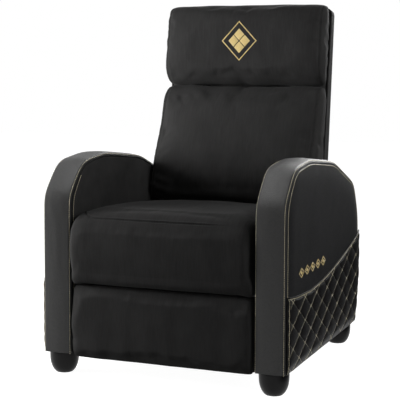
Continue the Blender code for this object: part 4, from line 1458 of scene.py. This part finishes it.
def makeEmblem():
    across, centre = Vector((1, 0, 0)), Vector((0, 0, emblem["height"]))
    wide, high = emblem["halfWidth"], emblem["halfHeight"]
    lineSteps, petalSteps = emblem["steps"]
    quads = lozengeFrame(centre, across, wide, high, emblem["line"], lineSteps)
    petal, share = emblem["petal"], high / wide
    reach = petal + emblem["gap"] / 2
    for x, z in ((-1, 0), (1, 0), (0, 1), (0, -1)):
        spot = centre + across * x * reach + Vector((0, 0, 1)) * z * reach * share
        quads.append(lozenge(spot, across, petal, petal * share, petalSteps))
    behind = Vector((0, 1, 0))
    piece = embroider("headrest_emblem", quads, headrestPiece, behind, emblem["rise"])
    finishPiece(piece, "back", "charcoal_velvet")


sideMotif = {
    "height": 0.300,
    "start": 0.128,
    "end": 0.330,
    "count": 5,
    "halfLength": 0.0225,
    "halfHeight": 0.0135,
    "line": 0.0036,
    "core": 0.42,
    "rise": 0.0009,
    "steps": (8, 6),
}


def makeSideMotif(name, side):
    across = Vector((0, 1, 0))
    wide, high, core = sideMotif["halfLength"], sideMotif["halfHeight"], sideMotif["core"]
    lineSteps, coreSteps = sideMotif["steps"]
    quads = []
    for number in range(sideMotif["count"]):
        share = number / (sideMotif["count"] - 1)
        y = armFront + sideMotif["start"] + share * (sideMotif["end"] - sideMotif["start"])
        centre = Vector((side * armOuter, y, sideMotif["height"]))
        quads += lozengeFrame(centre, across, wide, high, sideMotif["line"], lineSteps)
        quads.append(lozenge(centre, across, wide * core, high * core, coreSteps))
    panel, inwards = bpy.data.objects[f"panel_outer_{name}"], Vector((-side, 0, 0))
    piece = embroider(f"side_motif_{name}", quads, panel, inwards, sideMotif["rise"])
    finishPiece(piece, "base", "panel_leather")


makeEmblem()
for name, side in sides.items():
    makeSideMotif(name, side)
print("motifs embroidered")


# Feet turned from a profile, with a felt glide below
footLook = {
    "segments": 64,
    "rings": 22,
    "crowding": 1.6,
    "bottomShare": 0.55,
    "fullness": 3.2,
    "roundness": 0.80,
    "glideHeight": 0.002,
    "groove": (0.94, 0.02, 0.0006),  # share of the height, width as a share, depth
}


def footRadiusShare(height):
    # The foot swells quickly from its flat bottom and then hardly widens
    swell = (1 - (1 - height) ** footLook["fullness"]) ** footLook["roundness"]
    return footLook["bottomShare"] + (1 - footLook["bottomShare"]) * swell


def makeFoot(name):
    low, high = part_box(name)
    centre = (low + high) / 2
    radius = (high.x - low.x) / 2
    rings, segments = footLook["rings"], footLook["segments"]
    grooveHeight, grooveWidth, grooveDepth = footLook["groove"]
    points = []
    for ring in range(rings + 1):
        share = (ring / rings) ** footLook["crowding"]
        groove = bell(share - grooveHeight, grooveWidth) * grooveDepth / radius
        reach = radius * (footRadiusShare(share) - groove)
        for step in range(segments):
            angle = math.tau * step / segments
            x = centre.x + reach * math.cos(angle)
            y = centre.y + reach * math.sin(angle)
            points.append((x, y, low.z + (high.z - low.z) * share))
    faces = tubeFaces(rings + 1, segments)
    piece = makePiece(f"{name}_turned", points, faces, finish["foot plastic"])
    piece.data.materials.append(finish["glide felt"])
    for face in piece.data.polygons:
        if face.center.z < low.z + footLook["glideHeight"]:
            face.material_index = 1
    finishPiece(piece, "base", "foot_plastic", name)


for end in ("front", "rear"):
    for name in sides:
        makeFoot(f"foot_{end}_{name}")
print("feet turned")


# Back cover: a fitted velvet shell behind the cushions
shell = {
    "flat": (0.650, 0.720),  # width with both side bands, length with the top band
    "cutArea": 0.446,
    "divisions": 3,
    "seam": (0.024, 0.0035, 0.0016),  # distance from the edge, width, depth
    "seamFacing": (0.3, 0.7),
    "swell": (0.02, 0.14, 0.0030),  # start, end, rise
    "waves": (0.02, 0.06, 0.0014),
    "facing": (0.3, 0.8),
}
skirt = {
    "divisions": 4,
    "swell": (0.05, 0.0015),  # reach, rise
    "waves": (0.03, 0.0008),
    "facing": (0.5, 0.9),
}
strap = {"flat": (0.060, 0.438), "edge": 0.0004}


def makeRearCover():
    piece = addPiece("rear_cover", nodeMesh("back_rear_cover"), velvet)
    divide(piece, shell["divisions"], "SIMPLE")
    piece.data.shade_smooth()
    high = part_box("back_rear_cover")[1]
    inset, seamWidth, seamDepth = shell["seam"]
    swellStart, swellEnd, swell = shell["swell"]
    waveStart, waveEnd, waves = shell["waves"]

    def shape(place, normal):
        edge = high.x - abs(place.x)
        facing = ease(*shell["facing"], normal.y)
        seam = bell(edge - inset, seamWidth) * seamDepth * ease(*shell["seamFacing"], normal.y)
        rise = ease(swellStart, swellEnd, edge) * swell
        rise += uneven((place.x * 1.5, place.y, place.z), waves, 7) * ease(waveStart, waveEnd, edge)
        return place + normal * (rise * facing - seam)

    moveVertices(piece, shape)
    finishPiece(piece, "back", "charcoal_velvet", "back_rear_cover")


def makeRearPanel():
    piece = addPiece("rear_skirt", nodeMesh("rear_panel"), finish["panel leather"])
    divide(piece, skirt["divisions"], "SIMPLE")
    low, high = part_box("rear_panel")
    (swellReach, swell), (waveReach, waves) = skirt["swell"], skirt["waves"]

    def shape(place, normal):
        edge = min(high.x - abs(place.x), place.z - low.z, high.z - place.z)
        rise = ease(0, swellReach, edge) * swell
        rise += uneven(place, waves, 11) * ease(0, waveReach, edge)
        return place + normal * rise * ease(*skirt["facing"], abs(normal.y))

    moveVertices(piece, shape)
    finishPiece(piece, "base", "panel_leather", "rear_panel")


def makeWebbing(number):
    node = f"back_webbing_{number}"
    piece = addPiece(f"strap_{number}", nodeMesh(node), finish["elastic webbing"])
    addModifier(piece, "BEVEL", width=strap["edge"], segments=1)
    settle(piece)
    finishPiece(piece, "back", "elastic_webbing", node)


makeRearCover()
makeRearPanel()
for number in (1, 2, 3):
    makeWebbing(number)
print("back covered")


# Floor, light and camera
studio = {
    "floorColour": (0.25, 0.25, 0.25, 1),
    "floorGlow": 0.97,
    "floorReach": 9,
    "skyLight": 0.15,
    "sideLight": 0.15,
    "flagColour": (0.05, 0.05, 0.05, 1),
}
lamps = {
    # place, target, size, power, seen by gloss, seen by matt surfaces
    "key": ((-1.35, -0.60, 0.72), (0, 0.1, 0.75), 0.9, 62, False, True),
    "rim": ((0.25, 2.0, 1.6), (0, 0, 0.5), 1.6, 100, True, False),
    "card": ((-0.35, -0.55, 2.0), (-0.1, -0.3, 0.5), 1.2, 26, True, False),
    "fill": ((2.2, -0.35, 1.3), (0, 0, 0.45), 1.2, 48, False, True),
}
flags = {
    # corners of dark screens that only gloss sees, behind, beside and below on the right
    "rear": ((0.50, 2.6, 0), (4.2, 2.6, 0), (4.2, 2.6, 2.4), (0.50, 2.6, 2.4)),
    "right": ((2.4, -0.9, 0), (2.4, 2.6, 0), (2.4, 2.6, 2.4), (2.4, -0.9, 2.4)),
    "low": ((0.42, -0.5, 0.002), (2.4, -0.5, 0.002), (2.4, 2.6, 0.002), (0.42, 2.6, 0.002)),
}
photoCamera = {
    "place": (1.2081, -3.1169, 0.8366),
    "tiltDegrees": (85.526, -0.139, 21.988),
    "lens": {"lens": 105.356, "sensor_width": 36, "shift_x": 0.00843, "shift_y": -0.11242},
}


def addScreen(name, corners, material, **settings):
    mesh = bpy.data.meshes.new(name)
    mesh.from_pydata(corners, [], [(0, 1, 2, 3)])
    screen = addPiece(name, mesh, material)
    setAll(screen, settings)


def seenRays(tree):
    # 1 for camera rays, also through glass and in a gloss
    rays = addNode(tree, "ShaderNodeLightPath").outputs
    clear = maths(tree, "MAXIMUM", rays["Is Camera Ray"], rays["Is Transmission Ray"])
    return maths(tree, "MAXIMUM", clear, rays["Is Glossy Ray"])


def makeFloor():
    # Camera rays see the floor brightened to white, with the chair's shadow on it
    values = {"Base Color": studio["floorColour"], "Roughness": 0.9, "Specular IOR Level": 0.1}
    material, tree, shader = newMaterial("floor", values | {"Emission Color": (1, 1, 1, 1)})
    glow = maths(tree, "MULTIPLY", seenRays(tree), studio["floorGlow"])
    tree.links.new(glow, shader.inputs["Emission Strength"])
    reach = studio["floorReach"]
    spots = ((-1, -1), (1, -1), (1, 1), (-1, 1))
    addScreen("floor", [(x * reach, y * reach, 0) for x, y in spots], material)


def makeRoom():
    world = bpy.data.worlds.new("studio")
    world.use_nodes = True
    tree = world.node_tree
    tree.nodes.clear()
    seen = seenRays(tree)
    white = addNode(tree, "ShaderNodeBackground", {"Color": (1, 1, 1, 1), "Strength": 1.0})
    direction = addNode(tree, "ShaderNodeTexCoord").outputs["Generated"]
    height = addNode(tree, "ShaderNodeSeparateXYZ", {"Vector": direction}).outputs["Z"]
    level = spread(tree, height, studio["sideLight"], studio["skyLight"])
    room = addNode(tree, "ShaderNodeBackground", {"Color": (1, 1, 1, 1), "Strength": level})
    mix = addNode(tree, "ShaderNodeMixShader", {0: seen, 1: room, 2: white})
    addNode(tree, "ShaderNodeOutputWorld", {"Surface": mix})
    scene.world = world


def addHolder(name, content, place):
    holder = bpy.data.objects.new(name, content)
    holder.location = place
    scene.collection.objects.link(holder)
    return holder


def addLamp(name, place, target, size, power, onGloss, onMatt):
    lamp = bpy.data.lights.new(name, "AREA")
    setAll(lamp, {"shape": "SQUARE", "size": size, "energy": power})
    holder = addHolder(name, lamp, place)
    setAll(holder, {"visible_camera": False, "visible_glossy": onGloss, "visible_diffuse": onMatt})
    holder.rotation_euler = (Vector(target) - Vector(place)).to_track_quat("-Z", "Y").to_euler()


def makeFlag(name, corners):
    values = {"Base Color": studio["flagColour"], "Roughness": 1, "Specular IOR Level": 0}
    material = newMaterial(f"flag {name}", values)[0]
    hidden = {"visible_camera": False, "visible_diffuse": False, "visible_shadow": False}
    addScreen(f"flag_{name}", corners, material, **hidden)


def makeCamera():
    lens = bpy.data.cameras.new("camera")
    setAll(lens, photoCamera["lens"])
    scene.camera = addHolder("camera", lens, photoCamera["place"])
    tilt = [math.radians(angle) for angle in photoCamera["tiltDegrees"]]
    scene.camera.rotation_euler = tilt


makeFloor()
makeRoom()
for name, corners in flags.items():
    makeFlag(name, corners)
for name, values in lamps.items():
    addLamp(name, *values)
makeCamera()
scene.view_settings.view_transform = "Standard"
print("studio set up")
